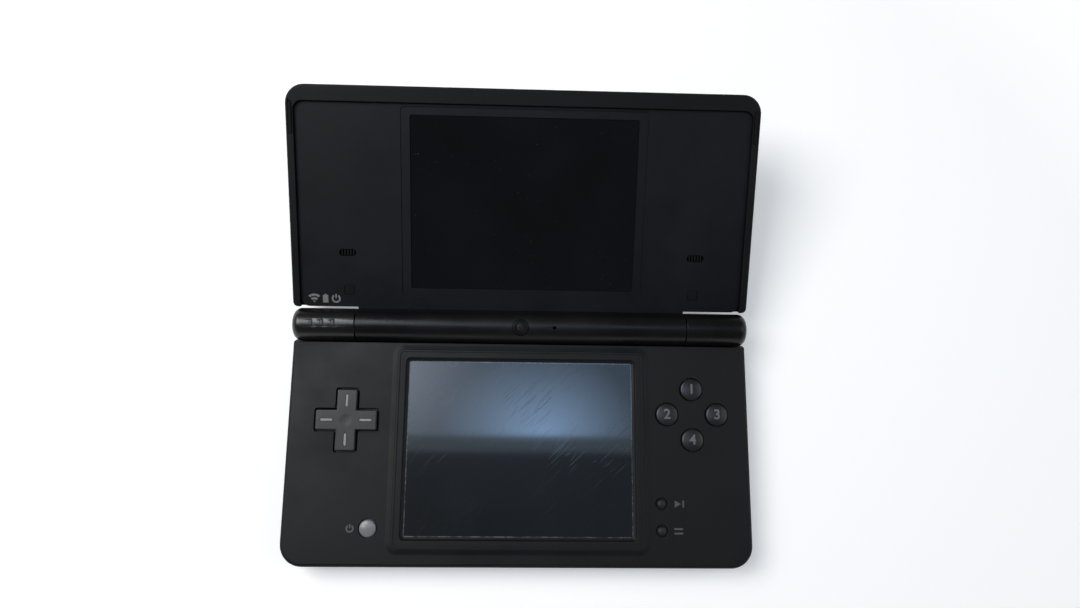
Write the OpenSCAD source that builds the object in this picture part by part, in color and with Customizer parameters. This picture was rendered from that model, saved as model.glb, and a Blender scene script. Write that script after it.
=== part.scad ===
// Clamshell handheld game console, open on its stop and standing on its feet.
// +X is the player's right, +Y the hinge side, +Z up. The origin is the middle
// of the base's footprint on the surface that it stands on.

/* [Case] */
// Width of the base half
case_w = 136.8; // [135:0.2:142]
// Depth from the front edge to the back of the hinge barrel
case_d = 74.9; // [74:0.1:78]
// Height of the base from its underside to its face
base_h = 10.2; // [10:0.1:12]
// Height of the rubber feet below the base
foot_h = 0.3; // [0.2:0.1:1.5]
// Wall of the shells
wall = 1.2; // [1:0.1:1.6]
// Plan radius of the base's front corners
front_r = 6.5; // [4:0.5:9]
// Plan radius of the base's rear corners
rear_r = 3.2; // [3:0.2:5]
// Rounding along the base's bottom edge
belly_r = 2.6; // [2:0.1:3]
// Rounding along the base's face edge
face_r = 1.1; // [0.6:0.1:1.4]
// Height of the face plate's skirt, from the parting line to the face
skirt_h = 2.7; // [2.4:0.1:3]

/* [Hinge] */
// Radius of the hinge barrel
barrel_r = 4.9; // [4.6:0.1:5.1]
// Radial gap between the barrel and its trough in the base
trough_gap = 0.3; // [0.2:0.05:0.5]
// Length of the base's barrel end on each side
barrel_end_len = 18.55; // [15:0.05:19]
// Distance that each barrel end stays in from the base's side
barrel_end_in = 0.2; // [0:0.05:1]
// Gap between the barrel's parts, end to end
barrel_end_gap = 0.3; // [0.15:0.05:0.6]
// Wall of the barrel
barrel_wall = 1.2; // [1:0.1:1.8]
// Opening angle of the lid on its stop
lid_angle = 157.5; // [120:0.5:160]
// Gap between the two halves when the lid is shut
shut_gap = 0.4; // [0.3:0.1:0.8]
// Running clearance of the hinge's shaft and bush
hinge_fit = 0.05; // [0.03:0.01:0.1]

/* [Lid] */
// Width of the lid
lid_w = 137.2; // [135:0.2:142]
// Length of the lid from the hinge axis to its far edge
lid_len = 69.9; // [68:0.1:74]
// Thickness of the lid
lid_h = 8; // [7.8:0.1:10]
// Distance from the hinge axis to the lid's lower edge
lid_start = 5.25; // [5.15:0.05:6.4]
// Plan radius of the lid's far corners
lid_r = 5.5; // [4:0.5:9]
// Rounding along the lid's outer edge
lid_edge_r = 2.4; // [1.6:0.1:2.8]
// Width of the raised rim at the sides of the lid's inner face
rim_w = 2.2; // [2.1:0.1:3.5]
// Width of the raised rim along the lid's far edge
rim_far_w = 4.6; // [3.5:0.1:4.8]
// Depth of the lid's inner face below its rim
rim_depth = 1.1; // [1:0.1:1.4]
// Thickness of the lid's inner bezel
bezel_t = 1.4; // [1.2:0.1:1.6]

/* [Screens] */
// Width of the visible picture area of each screen
screen_w = 66.8; // [62:0.2:68]
// Height of the visible picture area of the lower screen
screen_h = 50.9; // [46:0.1:51.2]
// Distance of the lower screen's centre from the hinge axis
lower_screen_y = 36.1; // [35.6:0.1:36.6]
// Distance from the hinge axis to the upper screen's picture area
upper_near = 11.15; // [11:0.05:11.4]
// Distance from the upper screen's picture area to the lid's far edge
upper_far = 7.85; // [7.6:0.05:8.4]
// Thickness of a display module
display_t = 2.6; // [2.2:0.1:2.7]
// Margin of a display module beyond its picture area
display_margin = 2.6; // [2:0.1:2.8]
// Thickness of the touch panel
touch_t = 0.7; // [0.5:0.1:0.8]
// Width of the raised frame round the lower screen
frame_w = 3.6; // [3:0.1:3.9]
// Height of the raised frame above the face
frame_h = 0.6; // [0.5:0.1:0.7]
// Width of the lip along the frame's outer edge
frame_lip = 0.95; // [0.7:0.05:1.2]
// Height of the lip above the rest of the frame
frame_step = 0.2; // [0.1:0.05:0.3]
// Radius of the cove from the frame down to the screen
frame_cove = 1; // [0.6:0.1:1.2]

/* [Controls] */
// Shift of the direction pad towards the screen, from the middle of the face beside it
dpad_shift = 1.5; // [0.8:0.1:2]
// Distance of the direction pad's centre from the hinge axis
dpad_y = 28.4; // [26:0.1:32]
// Span of the direction pad's cross
dpad_span = 18; // [17:0.1:19]
// Width of the cross's arms
dpad_arm = 6; // [5.5:0.1:7]
// Height of the direction pad above the face
dpad_proud = 0.9; // [0.5:0.1:1]
// Shift of the face buttons towards the screen, from the middle of the face beside it
buttons_shift = 1.4; // [1.1:0.1:2]
// Distance of the face buttons' centre from the hinge axis
buttons_y = 25.8; // [25:0.1:30]
// Distance of each face button from their centre
buttons_ring = 7.49; // [7.2:0.01:7.8]
// Diameter of a face button
button_d = 6.5; // [6:0.1:7]
// Height of a face button's dome above the face
button_proud = 1; // [0.6:0.1:1]
// Travel of a face button
button_travel = 0.7; // [0.4:0.1:0.8]
// Distance of the power button's centre from the screen's frame
power_gap = 6.5; // [6:0.1:9]
// Distance of the power button from the hinge axis
power_y = 59.2; // [57:0.1:60]
// Diameter of the power button
power_d = 4.9; // [4.4:0.1:5.2]
// Distance of the two menu buttons' centres from the screen's frame
menu_gap = 4.7; // [4.4:0.1:9]
// Distance of the rear menu button from the hinge axis
menu_y = 51.8; // [50:0.1:52.4]
// Distance between the two menu buttons
menu_pitch = 7.7; // [7:0.1:8]
// Diameter of a menu button
menu_d = 2.9; // [2.5:0.1:3.4]
// Gap round each button in the face
button_gap = 0.25; // [0.15:0.05:0.35]

/* [Inside] */
// Thickness of the main board
board_t = 0.8; // [0.6:0.1:1]
// Width of the battery
battery_w = 50; // [46:0.5:52]
// Depth of the battery
battery_d = 30; // [28:0.2:30.6]
// Thickness of the battery
battery_t = 3.8; // [3.4:0.1:3.9]
// Thickness of the battery cover
cover_t = 1; // [0.8:0.1:1.1]
// Gap round the battery cover
cover_gap = 0.15; // [0.1:0.05:0.3]

/* [Slots and sockets] */
// Width of the game card slot
card_w = 33.4; // [32:0.1:35]
// Height of the game card slot
card_h = 3.9; // [3.7:0.05:4]
// Depth of the game card slot
card_d = 31; // [30:0.1:31.2]
// Width of the memory card slot
memory_w = 24.6; // [24:0.1:26]
// Height of the memory card slot
memory_h = 2.4; // [2.2:0.1:2.6]
// Depth of the memory card slot
memory_d = 22; // [20:0.5:22]
// Radius of the headphone jack's bore
jack_r = 1.8; // [1.76:0.01:1.85]
// Depth of the headphone jack's bore
jack_depth = 12; // [11:0.5:13]
// Length of the stylus
stylus_len = 92; // [84:0.5:94]
// Diameter of the stylus
stylus_d = 4; // [3.6:0.1:4.2]
// Running clearance of the stylus in its channel
stylus_fit = 0.08; // [0.05:0.01:0.1]

/* [Hidden] */
$fn = 96;
cut = 1; // how far a cutting shape runs past the face that it cuts

black = "#26262a";
charcoal = "#303034";
dark_metal = "#8a8d92";
board_green = "#1f5a3c";
glass_black = "#101418";

// Heights
under_z = foot_h;
floor_z = under_z + wall;
face_z = under_z + base_h;
ceiling_z = face_z - wall;
part_z = face_z - skirt_h;
hinge_z = face_z + shut_gap / 2;
touch_top_z = face_z - 0.4;
touch_z = touch_top_z - touch_t;
display_z = touch_z - display_t;
board_top_z = display_z;
board_z = board_top_z - board_t;
tray_top_z = board_z;

// Depths
front_y = -case_d / 2;
back_y = case_d / 2;
case_back_y = back_y - 0.6;
hinge_y = back_y - barrel_r;
trough_r = barrel_r + trough_gap;
cavity_back_y = hinge_y - trough_r - wall;
side_x = case_w / 2;
screen_y = hinge_y - lower_screen_y;
frame_x = screen_w / 2 + frame_w;
module_x = screen_w / 2 + display_margin;
face_mid_x = (frame_x + side_x) / 2;
dpad_x = face_mid_x - dpad_shift;
buttons_x = face_mid_x - buttons_shift;
power_x = frame_x + power_gap;
menu_x = frame_x + menu_gap;

// Hinge
barrel_len = case_w - 2 * (barrel_end_in + barrel_end_len + barrel_end_gap);
barrel_bore = barrel_r - barrel_wall;
clutch_r = barrel_bore - 0.05;
clutch_len = 15;
shaft_r = 1.75;
shaft_len = 9;
bush_r = 2.6;
bush_hole_r = 1.7;
bush_overlap = 2.4;
housing_bore = 12;
end_x = barrel_len / 2 + barrel_end_gap;
end_round = 2.4;
stem_t = 1.4;
stem_y = hinge_y - 4.6;
stem_x = end_x + 1;
stem_w = barrel_end_len - 6.5;
stem_z = part_z - 3.2;

// Lid, drawn shut with the hinge axis at its origin
lid_rim_z = shut_gap / 2;
lid_top_z = lid_rim_z + lid_h;
bezel_z = lid_rim_z + rim_depth;
bezel_back_z = bezel_z + bezel_t;
upper_screen_h = lid_len - upper_near - upper_far;
lid_screen_y = -upper_near - upper_screen_h / 2;
bezel_w = lid_w - 2 * rim_w;
bezel_r = 2.6;
ledge = 0.5;
window_recess = 0.25;
window_step = 2.65;
window_fit = 0.1;
window_t = 0.75;
neck_top_z = 4.2;

// Screws
shank_r = 0.8;
head_r = 1.5;
head_h = 1;
screw_fit = 0.1;
thread_fit = 0.05;
boss_r = 2.2;
boss_gap = 1.8; // from a middle boss to the display module
sink_z = under_z + head_h + 0.3;
front_screw_in = 6.4; // screw places, in from the sides and from the front and cavity back
left_screw_up = 7;
right_screw_up = 10.4;
rear_screw_in = 5.4;
rear_screw_down = 6.2;
middle_screw_x = module_x + boss_gap + boss_r;
middle_screw_down = 3.9;
case_screws_at = [
    [-side_x + front_screw_in, front_y + left_screw_up],
    [side_x - front_screw_in, front_y + right_screw_up],
    [-side_x + rear_screw_in, cavity_back_y - rear_screw_down],
    [side_x - rear_screw_in, cavity_back_y - rear_screw_down],
    [-middle_screw_x, cavity_back_y - middle_screw_down],
    [middle_screw_x, cavity_back_y - middle_screw_down]
];

// Battery bay
bay_y0 = front_y + 7.8;
bay_wall = 1.2;
bay_fit = 0.2;
cover_margin_x = 7;
cover_screw_x = battery_w / 2 + 4.3;
cover_w = battery_w + 2 * cover_margin_x;
cover_y0 = bay_y0 - 1.4;
cover_y1 = bay_y0 + battery_d + 2.2;
cover_screw_len = 3.6;
cover_screw_y = bay_y0 + battery_d / 2;
cover_top_z = under_z + cover_t;
groove_len = 12;
groove_w = 0.7;
groove_pitch = 1.6;
groove_depth = 0.3;
contact_w = 1.6;
contact_pitch = 3;

// Slots, sockets and channel
card_z = under_z + 1;
card_front_y = case_back_y - card_d;
reader_wall = 1.2;
memory_y = -4;
memory_z = board_z - 0.4 - memory_h;
socket_wall = 1.2;
pad_t = 1;
door_t = 0.9;
door_h = memory_h + 1.2;
door_len = memory_w + 2.4;
door_fit = 0.12;
door_pin_r = 0.3;
door_pin_fit = 0.05;
door_pin_h = 0.5;
door_axis_x = side_x - 0.1 - door_t / 2;
door_axis_y = memory_y - door_len / 2 + door_t / 2;
door_z = memory_z + memory_h / 2 - door_h / 2;
jack_x = -power_x - 6.5;
jack_z = part_z - 2.7;
jack_nose_r = 2.6;
jack_w = 6.4;
power_socket_x = 30;
power_socket_w = 9.6;
power_socket_h = 3.4;
power_socket_d = 8.5;
power_socket_z = under_z + 1.1;
stylus_r = stylus_d / 2;
stylus_y = front_y + wall + stylus_r + 0.35;
stylus_z = floor_z + stylus_r + 0.3;
stylus_wall = 0.9;
stylus_x0 = side_x - stylus_len;
strap_x = -30;
strap_w = 5.4;
strap_depth = 3.4;
strap_bar_r = 0.9;
contact_count = 16; // of the card reader, less one
card_contact_pitch = 1.8;
card_contact_w = 0.7;

// Shoulder buttons
shoulder_x0 = end_x + 0.6;
shoulder_z0 = under_z + 1.1;
shoulder_side_top = part_z - 0.15;
shoulder_top = hinge_z - barrel_r - 0.5;
shoulder_back_y = case_back_y - 6;
shoulder_side_y = case_back_y - 12.2;
shoulder_side_x = side_x - 3.9;
shoulder_gap = 1.25;
shoulder_fit = 0.3;
shoulder_pin_x = shoulder_x0 + 2.3;
shoulder_pin_y = case_back_y - 3;
shoulder_pin_r = 0.8;
shoulder_spring_z = shoulder_z0 + 2.6;
shoulder_spring_r = 1.6;
shoulder_reach = 12; // of the shapes that cut the corner out, past the case's back

// Volume keys
volume_y = [4.5, -6];
volume_len = 7;
volume_h = 2.4;
volume_z = part_z - 3.1;
volume_proud = 0.45;
volume_flange_t = 0.8;
volume_travel = 0.4;
volume_switch_x = -side_x + wall + 0.06 + volume_flange_t + volume_travel + 0.15;

display_lip = 1.3; // wall round the display module, under the face

// Button stacks under the face
flange_top_z = ceiling_z - 0.05;
flange_t = 0.8;
dpad_flange_r = 9.9;
dpad_tilt_gap = 0.75;
dpad_flange_t = 0.6;
dpad_flange_z = ceiling_z - dpad_tilt_gap - dpad_flange_t;
dpad_socket = 0.5;
dpad_post_r = 1.5;
dpad_gap = 0.45;
membrane_t = 0.3;
dpad_mat_w = 19;
dpad_dome_at = 6.2;
dpad_dome_r = 2.2;
key_mat_w = 23;
key_dome_r = 2.6;
switch_w = 3.2;
switch_h = 0.8;
side_switch_w = 2.4;
side_switch_len = 4.8;
side_switch_drop = 1.4;

// Modules under the board
shield_w = 17;
shield_d = 16;
shield_h = 1.7;
shield_at = [-middle_screw_x + 10.6, 11.8];
shield_pitch = 4;
shield_hole_r = 0.6;
radio_w = 18;
radio_d = 16;
radio_t = 1;
radio_gap = 0.8; // between the radio's own board and the main board's underside
radio_chip_w = 12;
radio_chip_d = 10;
radio_at = [-side_x + 16.4, -8];

// Pieces in the lid
speaker_shift = 0.9; // outwards from the middle between display and rim
speaker_x = (module_x + bezel_w / 2) / 2 + speaker_shift;
speaker_slot_y = -21.7;
speaker_slot_len = 5.1;
speaker_slot_w = 2.15;
speaker_y = speaker_slot_y - 0.7;
speaker_w = 15;
speaker_d = 11;
speaker_t = 2.4;
cone_w = 9;
cone_d = 5;
cone_depth = 0.6;
plug_w = 3.1;
plug_t = 0.75;
plug_fit = 0.15;
plug_in = 14.5; // from the bezel's side edge
plugs_at = [[-bezel_w / 2 + plug_in, -10.4], [bezel_w / 2 - plug_in, -10.4]];
lid_boss_r = 2.3;
lid_boss_h = 4.4;
outer_camera_at = [lid_w / 2 - 18.6, -15];
lamp_at = [lid_w / 2 - 18.6, -22];
camera_r = 2.6;
camera_ring_r = 3.35;
lamp_r = 0.85;
bumper_len = 9;
bumper_w = 0.9;
bumper_fit = 0.2;
bumper_y = -lid_len + 9.4;
bumper_x = lid_w / 2 - rim_w * 0.6;
magnet_w = 4;
magnet_d = 6;
magnet_t = 1.5;
magnet_at = [-module_x - 8, -lid_len + 27.9];

// Round profile of a slab's edge: out to r, from 0 to h, rounded by rb below and rt above
module edge_profile(r, h, rb, rt) {
    difference() {
        square([r, h]);
        if (rb > 0) difference() {
            translate([r - rb, -cut]) square([rb + cut, rb + cut]);
            translate([r - rb, rb]) circle(rb);
        }
        if (rt > 0) difference() {
            translate([r - rt, h - rt]) square([rt + cut, rt + cut]);
            translate([r - rt, h - rt]) circle(rt);
        }
    }
}

// Slab with rounded corners and edges: rf and rr are the plan radii at y0 and y1
module soft_slab(w, y0, y1, h, rf, rr, rb, rt) {
    edge = max(rb, rt, 0.1);
    corners = [
        [w / 2 - rf, y0 + rf, rf, -90], [w / 2 - rr, y1 - rr, rr, 0],
        [-w / 2 + rr, y1 - rr, rr, 90], [-w / 2 + rf, y0 + rf, rf, 180]
    ];
    run = y1 - y0 - rf - rr;
    for (c = corners) translate([c[0], c[1], 0]) rotate(c[3])
        rotate_extrude(angle = 90) edge_profile(c[2], h, rb, rt);
    translate([-w / 2 + rf, y0 + rf, 0]) rotate([90, 0, 90])
        linear_extrude(w - 2 * rf) mirror([1, 0]) edge_profile(rf, h, rb, rt);
    translate([-w / 2 + rr, y1 - rr, 0]) rotate([90, 0, 90])
        linear_extrude(w - 2 * rr) edge_profile(rr, h, rb, rt);
    for (s = [0, 1]) mirror([s, 0, 0]) translate([w / 2 - edge, y1 - rr, 0])
        rotate([90, 0, 0]) linear_extrude(run) edge_profile(edge, h, rb, rt);
    translate([-w / 2 + edge, y0 + rf, 0]) cube([w - 2 * edge, run, h]);
}

// Box given by its centre in x, its y and z ranges and its width
module span_box(x, w, y0, y1, z0, z1) {
    translate([x - w / 2, y0, z0]) cube([w, y1 - y0, z1 - z0]);
}

// Flat plate with rounded plan corners
module plate(w, y0, y1, h, r) {
    translate([0, (y0 + y1) / 2, 0]) linear_extrude(h) round_rect(w, y1 - y0, r);
}

module round_rect(w, d, r) {
    square([w - 2 * r, d], center = true);
    square([w, d - 2 * r], center = true);
    for (sx = [-1, 1], sy = [-1, 1]) translate([sx * (w / 2 - r), sy * (d / 2 - r)]) circle(r);
}

module obround(len, d) {
    square([len - d, d], center = true);
    for (s = [-1, 1]) translate([s * (len - d) / 2, 0]) circle(d / 2);
}

module along_x(x, y, z) {
    translate([x, y, z]) rotate([0, 90, 0]) children();
}

// Children are drawn with the lid shut and the hinge axis at the origin
module on_lid() {
    translate([0, hinge_y, hinge_z]) rotate([-lid_angle, 0, 0]) children();
}

// ---- Base case ----

module base_outer() {
    translate([0, 0, under_z])
        soft_slab(case_w, front_y, case_back_y, base_h, front_r, rear_r, belly_r, face_r);
}

module base_cavity() {
    translate([0, 0, floor_z])
        soft_slab(case_w - 2 * wall, front_y + wall, cavity_back_y, base_h - 2 * wall,
            front_r - wall, 1.5, belly_r - wall, 0);
}

module trough() {
    along_x(0, hinge_y, hinge_z) cylinder(r = trough_r, h = case_w + 2 * cut, center = true);
    span_box(0, case_w + 2 * cut, hinge_y, back_y + cut, hinge_z - 0.5, hinge_z + cut);
}

module stem_pockets() {
    for (s = [-1, 1]) span_box(s * (stem_x + stem_w / 2), stem_w, stem_y, stem_y + stem_t,
        stem_z, hinge_z);
}

// The L-shaped pocket that a shoulder button moves in, at the right
module shoulder_pocket() {
    z0 = shoulder_z0 - shoulder_fit;
    translate([shoulder_x0 - shoulder_fit, shoulder_back_y - shoulder_gap, z0])
        cube([side_x, shoulder_reach, hinge_z - z0]);
    translate([shoulder_side_x - shoulder_gap, shoulder_side_y - shoulder_gap, z0])
        cube([side_x, 2 * shoulder_reach, part_z - z0]);
}

module memory_recess() {
    rx = side_x - door_axis_x + door_t / 2 + door_fit;
    translate([side_x - rx, memory_y - door_len / 2 - door_fit, door_z - door_fit])
        cube([rx + cut, door_len + 2 * door_fit, door_h + 2 * door_fit]);
    translate([side_x - wall - pad_t - cut, memory_y - memory_w / 2, memory_z])
        cube([wall + pad_t + 2 * cut, memory_w, memory_h]);
    translate([door_axis_x, door_axis_y, door_z - door_pin_h - 0.05])
        cylinder(r = door_pin_r + door_pin_fit, h = door_h + 2 * door_pin_h + 0.1);
}

module game_card_slot() {
    span_box(0, card_w, card_front_y, case_back_y + cut, card_z, card_z + card_h);
}

module power_socket_pocket() {
    span_box(power_socket_x, power_socket_w, case_back_y - power_socket_d, case_back_y + cut,
        power_socket_z, power_socket_z + power_socket_h);
}

module strap_hole() {
    difference() {
        span_box(strap_x, strap_w, case_back_y - strap_depth, case_back_y + cut,
            under_z + wall, under_z + wall + 3);
        translate([strap_x, case_back_y - strap_bar_r - 0.1, under_z])
            cylinder(r = strap_bar_r, h = 6);
    }
}

module stylus_bore(r) {
    along_x(stylus_x0 - 0.3, stylus_y, stylus_z)
        cylinder(r = r, h = stylus_len + 0.3 + cut);
}

module screw_holes(points, z1) {
    for (p = points) translate([p[0], p[1], 0]) {
        translate([0, 0, under_z - cut]) cylinder(r = head_r + screw_fit, h = sink_z - under_z + cut);
        translate([0, 0, sink_z - 0.1]) cylinder(r = shank_r + screw_fit, h = z1 - sink_z + 0.1);
    }
}

cover_screws_at = [[-cover_screw_x, cover_screw_y], [cover_screw_x, cover_screw_y]];

module battery_bay_block() {
    span_box(0, battery_w + 2 * (bay_fit + bay_wall), cover_y0 + 0.2, cover_y1 - 0.2,
        floor_z - 0.1, tray_top_z);
    for (p = cover_screws_at) translate([p[0], p[1], floor_z - 0.1])
        cylinder(r = boss_r, h = tray_top_z - floor_z + 0.1);
}

module battery_bay_cut() {
    translate([0, 0, under_z - cut])
        plate(cover_w + 2 * cover_gap, cover_y0 - cover_gap, cover_y1 + cover_gap, cover_t + cut, 2);
    span_box(0, battery_w + 2 * bay_fit, bay_y0 - bay_fit, bay_y0 + battery_d + bay_fit,
        under_z, cover_top_z + battery_t + bay_fit);
    for (p = cover_screws_at) translate([p[0], p[1], under_z])
        cylinder(r = shank_r + thread_fit, h = tray_top_z - under_z - 0.6);
}

module volume_holes() {
    for (y = volume_y) translate([-side_x - cut, y, volume_z]) rotate([0, 90, 0])
        linear_extrude(wall + 2 * cut) rotate(90) obround(volume_len + 0.3, volume_h + 0.3);
}

// Material inside the lower case: ridges, bosses and pads, before the holes
module lower_case_ribs() {
    intersection() {
        base_outer();
        union() {
            span_box((stylus_x0 - stylus_wall + side_x) / 2, side_x - stylus_x0 + stylus_wall,
                front_y, stylus_y + stylus_r + stylus_fit + stylus_wall,
                under_z, stylus_z + stylus_r + stylus_fit + stylus_wall);
            for (p = case_screws_at) translate([p[0], p[1], under_z + 0.5])
                cylinder(r = boss_r, h = board_z - under_z - 0.5);
            battery_bay_block();
            translate([side_x - wall - pad_t, memory_y - door_len / 2 - 1.5, under_z + 0.5])
                cube([wall + pad_t, door_len + 3, part_z - under_z - 0.5]);
        }
    }
}

module base_lower_case() {
    color(black) difference() {
        union() {
            difference() {
                base_outer();
                base_cavity();
            }
            lower_case_ribs();
        }
        translate([0, 0, part_z]) span_box(0, case_w + 2 * cut, front_y - cut, back_y + cut, 0, base_h);
        trough();
        stem_pockets();
        for (s = [0, 1]) mirror([s, 0, 0]) shoulder_pocket();
        shoulder_pin_holes();
        memory_recess();
        game_card_slot();
        power_socket_pocket();
        strap_hole();
        stylus_bore(stylus_r + stylus_fit);
        screw_holes(case_screws_at, part_z);
        battery_bay_cut();
        volume_holes();
        translate([jack_x, front_y - cut, jack_z]) rotate([-90, 0, 0])
            cylinder(r = jack_nose_r + 0.05, h = wall + 2 * cut);
        foot_seats();
    }
}

module shoulder_pin_holes() {
    for (s = [-1, 1]) translate([s * shoulder_pin_x, shoulder_pin_y, under_z + 0.3])
        cylinder(r = shoulder_pin_r, h = 3);
}

// Cove at the frame's foot: an arc of flare_r that dips flare_dip below the face
flare_r = 5;
flare_h = 0.4;
flare_dip = 0.02;
flare_sunk = 0.3;
flare_x = sqrt(2 * flare_r * (flare_dip + flare_h) - (flare_dip + flare_h) ^ 2);
frame_r = 2;
frame_edge = 0.5;
frame_y0 = screen_y - screen_h / 2 - frame_w;
frame_y1 = screen_y + screen_h / 2 + frame_w;

// Section of the cove, with the frame's side at x = side
module flare_profile(side) {
    difference() {
        translate([side - flare_sunk, -flare_sunk]) square([flare_sunk + flare_x, flare_sunk + flare_h]);
        translate([side + flare_x, flare_r - flare_dip]) circle(flare_r);
    }
}

module frame_foot() {
    flat_x = frame_x - frame_r;
    for (s = [0, 1]) mirror([s, 0, 0]) {
        translate([flat_x, frame_y1 - frame_r, 0])
            rotate_extrude(angle = 90) flare_profile(frame_r);
        translate([flat_x, frame_y0 + frame_r, 0]) rotate(-90)
            rotate_extrude(angle = 90) flare_profile(frame_r);
        translate([flat_x, frame_y1 - frame_r, 0]) rotate([90, 0, 0])
            linear_extrude(frame_y1 - frame_y0 - 2 * frame_r) flare_profile(frame_r);
    }
    translate([-flat_x, frame_y1 - frame_r, 0]) rotate([90, 0, 90])
        linear_extrude(2 * flat_x) flare_profile(frame_r);
    translate([-flat_x, frame_y0 + frame_r, 0]) rotate([90, 0, 90])
        linear_extrude(2 * flat_x) mirror([1, 0]) flare_profile(frame_r);
}

module screen_frame() {
    translate([0, 0, face_z]) frame_foot();
    translate([0, 0, face_z - flare_sunk]) soft_slab(2 * frame_x, frame_y0, frame_y1,
        frame_h + flare_sunk, frame_r, frame_r, 0, frame_edge);
}

module screen_opening() {
    cove = frame_cove;
    translate([0, 0, face_z + frame_h - frame_step])
        plate(2 * (frame_x - frame_lip), frame_y0 + frame_lip, frame_y1 - frame_lip,
            frame_h, frame_r - frame_lip);
    translate([0, 0, touch_top_z + 0.05])
        soft_slab(screen_w + 2 * cove, screen_y - screen_h / 2 - cove,
            screen_y + screen_h / 2 + cove, frame_h + 2, cove + 0.4, cove + 0.4, cove, 0);
    translate([0, 0, touch_z]) plate(screen_w, screen_y - screen_h / 2, screen_y + screen_h / 2,
        frame_h + 2, 0.6);
}

// Space for the display module and touch panel under the face
module display_space() {
    m = display_margin + 0.15;
    translate([0, 0, part_z - cut])
        plate(screen_w + 2 * m, screen_y - screen_h / 2 - m, screen_y + screen_h / 2 + m,
            touch_top_z + 0.02 - part_z + cut, 0.8);
}

module dpad_hole() {
    translate([-dpad_x, hinge_y - dpad_y, ceiling_z - cut]) linear_extrude(wall + 2 * cut)
        cross(dpad_span + 2 * dpad_gap, dpad_arm + 2 * dpad_gap, 0.8);
}

module cross(span, arm, r) {
    round_rect(span, arm, r);
    round_rect(arm, span, r);
}

button_angles = [90, 180, 0, 270]; // top, left, right, bottom
function face_button_at(i) = [
    buttons_x + buttons_ring * cos(button_angles[i]),
    hinge_y - buttons_y + buttons_ring * sin(button_angles[i])
];
power_at = [-power_x, hinge_y - power_y];
start_at = [menu_x, hinge_y - menu_y];
select_at = [menu_x, hinge_y - menu_y - menu_pitch];

module button_hole(p, d) {
    translate([p[0], p[1], ceiling_z - cut]) cylinder(d = d + 2 * button_gap, h = wall + 2 * cut);
}

module base_face_plate() {
    color(charcoal) difference() {
        union() {
            difference() {
                base_outer();
                base_cavity();
            }
            screen_frame();
            translate([0, 0, ceiling_z - 0.8]) plate(2 * (module_x + display_lip),
                screen_y - screen_h / 2 - display_margin - display_lip,
                screen_y + screen_h / 2 + display_margin + display_lip, 1, 1);
            for (p = case_screws_at) translate([p[0], p[1], board_top_z])
                cylinder(r = boss_r, h = ceiling_z - board_top_z + 0.2);
        }
        difference() {
            span_box(0, case_w + 2 * cut, front_y - cut, back_y + cut, -cut, part_z);
            for (p = case_screws_at) translate([p[0], p[1], board_top_z])
                cylinder(r = boss_r, h = base_h);
        }
        trough();
        stem_pockets();
        display_space();
        screen_opening();
        dpad_hole();
        for (i = [0:3]) button_hole(face_button_at(i), button_d);
        button_hole(power_at, power_d);
        button_hole(start_at, menu_d);
        button_hole(select_at, menu_d);
        for (p = case_screws_at) translate([p[0], p[1], board_z])
            cylinder(r = shank_r + thread_fit, h = ceiling_z - board_z - 0.3);
        for (s = [0, 1]) mirror([s, 0, 0])
            translate([shoulder_x0 - shoulder_fit, shoulder_back_y - shoulder_gap, part_z - cut])
                cube([side_x, shoulder_reach, base_h]);
    }
}

module battery_cover() {
    color(black) difference() {
        translate([0, 0, under_z]) plate(cover_w, cover_y0, cover_y1, cover_t, 2 - cover_gap);
        for (p = cover_screws_at) translate([p[0], p[1], under_z]) {
            translate([0, 0, -cut]) cylinder(r = head_r + screw_fit, h = cut + cover_t / 2);
            cylinder(r = shank_r + screw_fit, h = cover_t + cut);
        }
        for (i = [0:3]) translate([0, cover_y0 + 2 * groove_pitch + groove_pitch * i, under_z - cut])
            linear_extrude(cut + groove_depth) obround(groove_len, groove_w);
    }
}

// Pan-head screw pointing up, with its head's underside at z
module screw(p, seat, len, head) {
    translate([p[0], p[1], seat - head]) difference() {
        union() {
            cylinder(r = head_r, h = head);
            cylinder(r = shank_r, h = head + len);
        }
        for (a = [0, 90]) rotate(a) translate([-head_r * 0.6, -0.2, -cut])
            cube([head_r * 1.2, 0.4, cut + head * 0.45]);
    }
}

module battery_cover_screws() {
    color(dark_metal) for (p = cover_screws_at)
        screw(p, under_z + cover_t / 2, cover_screw_len, cover_t / 2 - 0.05);
}

module battery_pack() {
    color("#3a3f46") translate([0, 0, cover_top_z]) difference() {
        plate(battery_w, bay_y0, bay_y0 + battery_d, battery_t, 1);
        for (i = [-1:1]) span_box(battery_w / 2 - 8 + contact_pitch * i, contact_w,
            bay_y0 + battery_d - 0.4, bay_y0 + battery_d + cut, 0.8, battery_t - 0.8);
    }
}

foot_r = 2.45;
foot_seat = 0.5;
front_foot_in = 12.5;
rear_foot_in = 10;
foot_from_edge = 11.5;
feet_at = [
    [-side_x + front_foot_in, front_y + foot_from_edge],
    [side_x - front_foot_in, front_y + foot_from_edge + 1],
    [-side_x + rear_foot_in, case_back_y - foot_from_edge],
    [side_x - rear_foot_in, case_back_y - foot_from_edge]
];

module foot_seats() {
    for (p = feet_at) translate([p[0], p[1], under_z - cut]) 
        cylinder(r = foot_r + 0.05, h = cut + foot_seat);
}

module rubber_feet() {
    color("#1b1b1d") for (p = feet_at) translate([p[0], p[1], 0])
        rotate_extrude() edge_profile(foot_r, foot_h + foot_seat, 0.15, 0);
}

module case_screws() {
    color(dark_metal) for (p = case_screws_at) screw(p, sink_z, ceiling_z - sink_z - 1, head_h);
}

// ---- Inside the base ----

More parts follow.
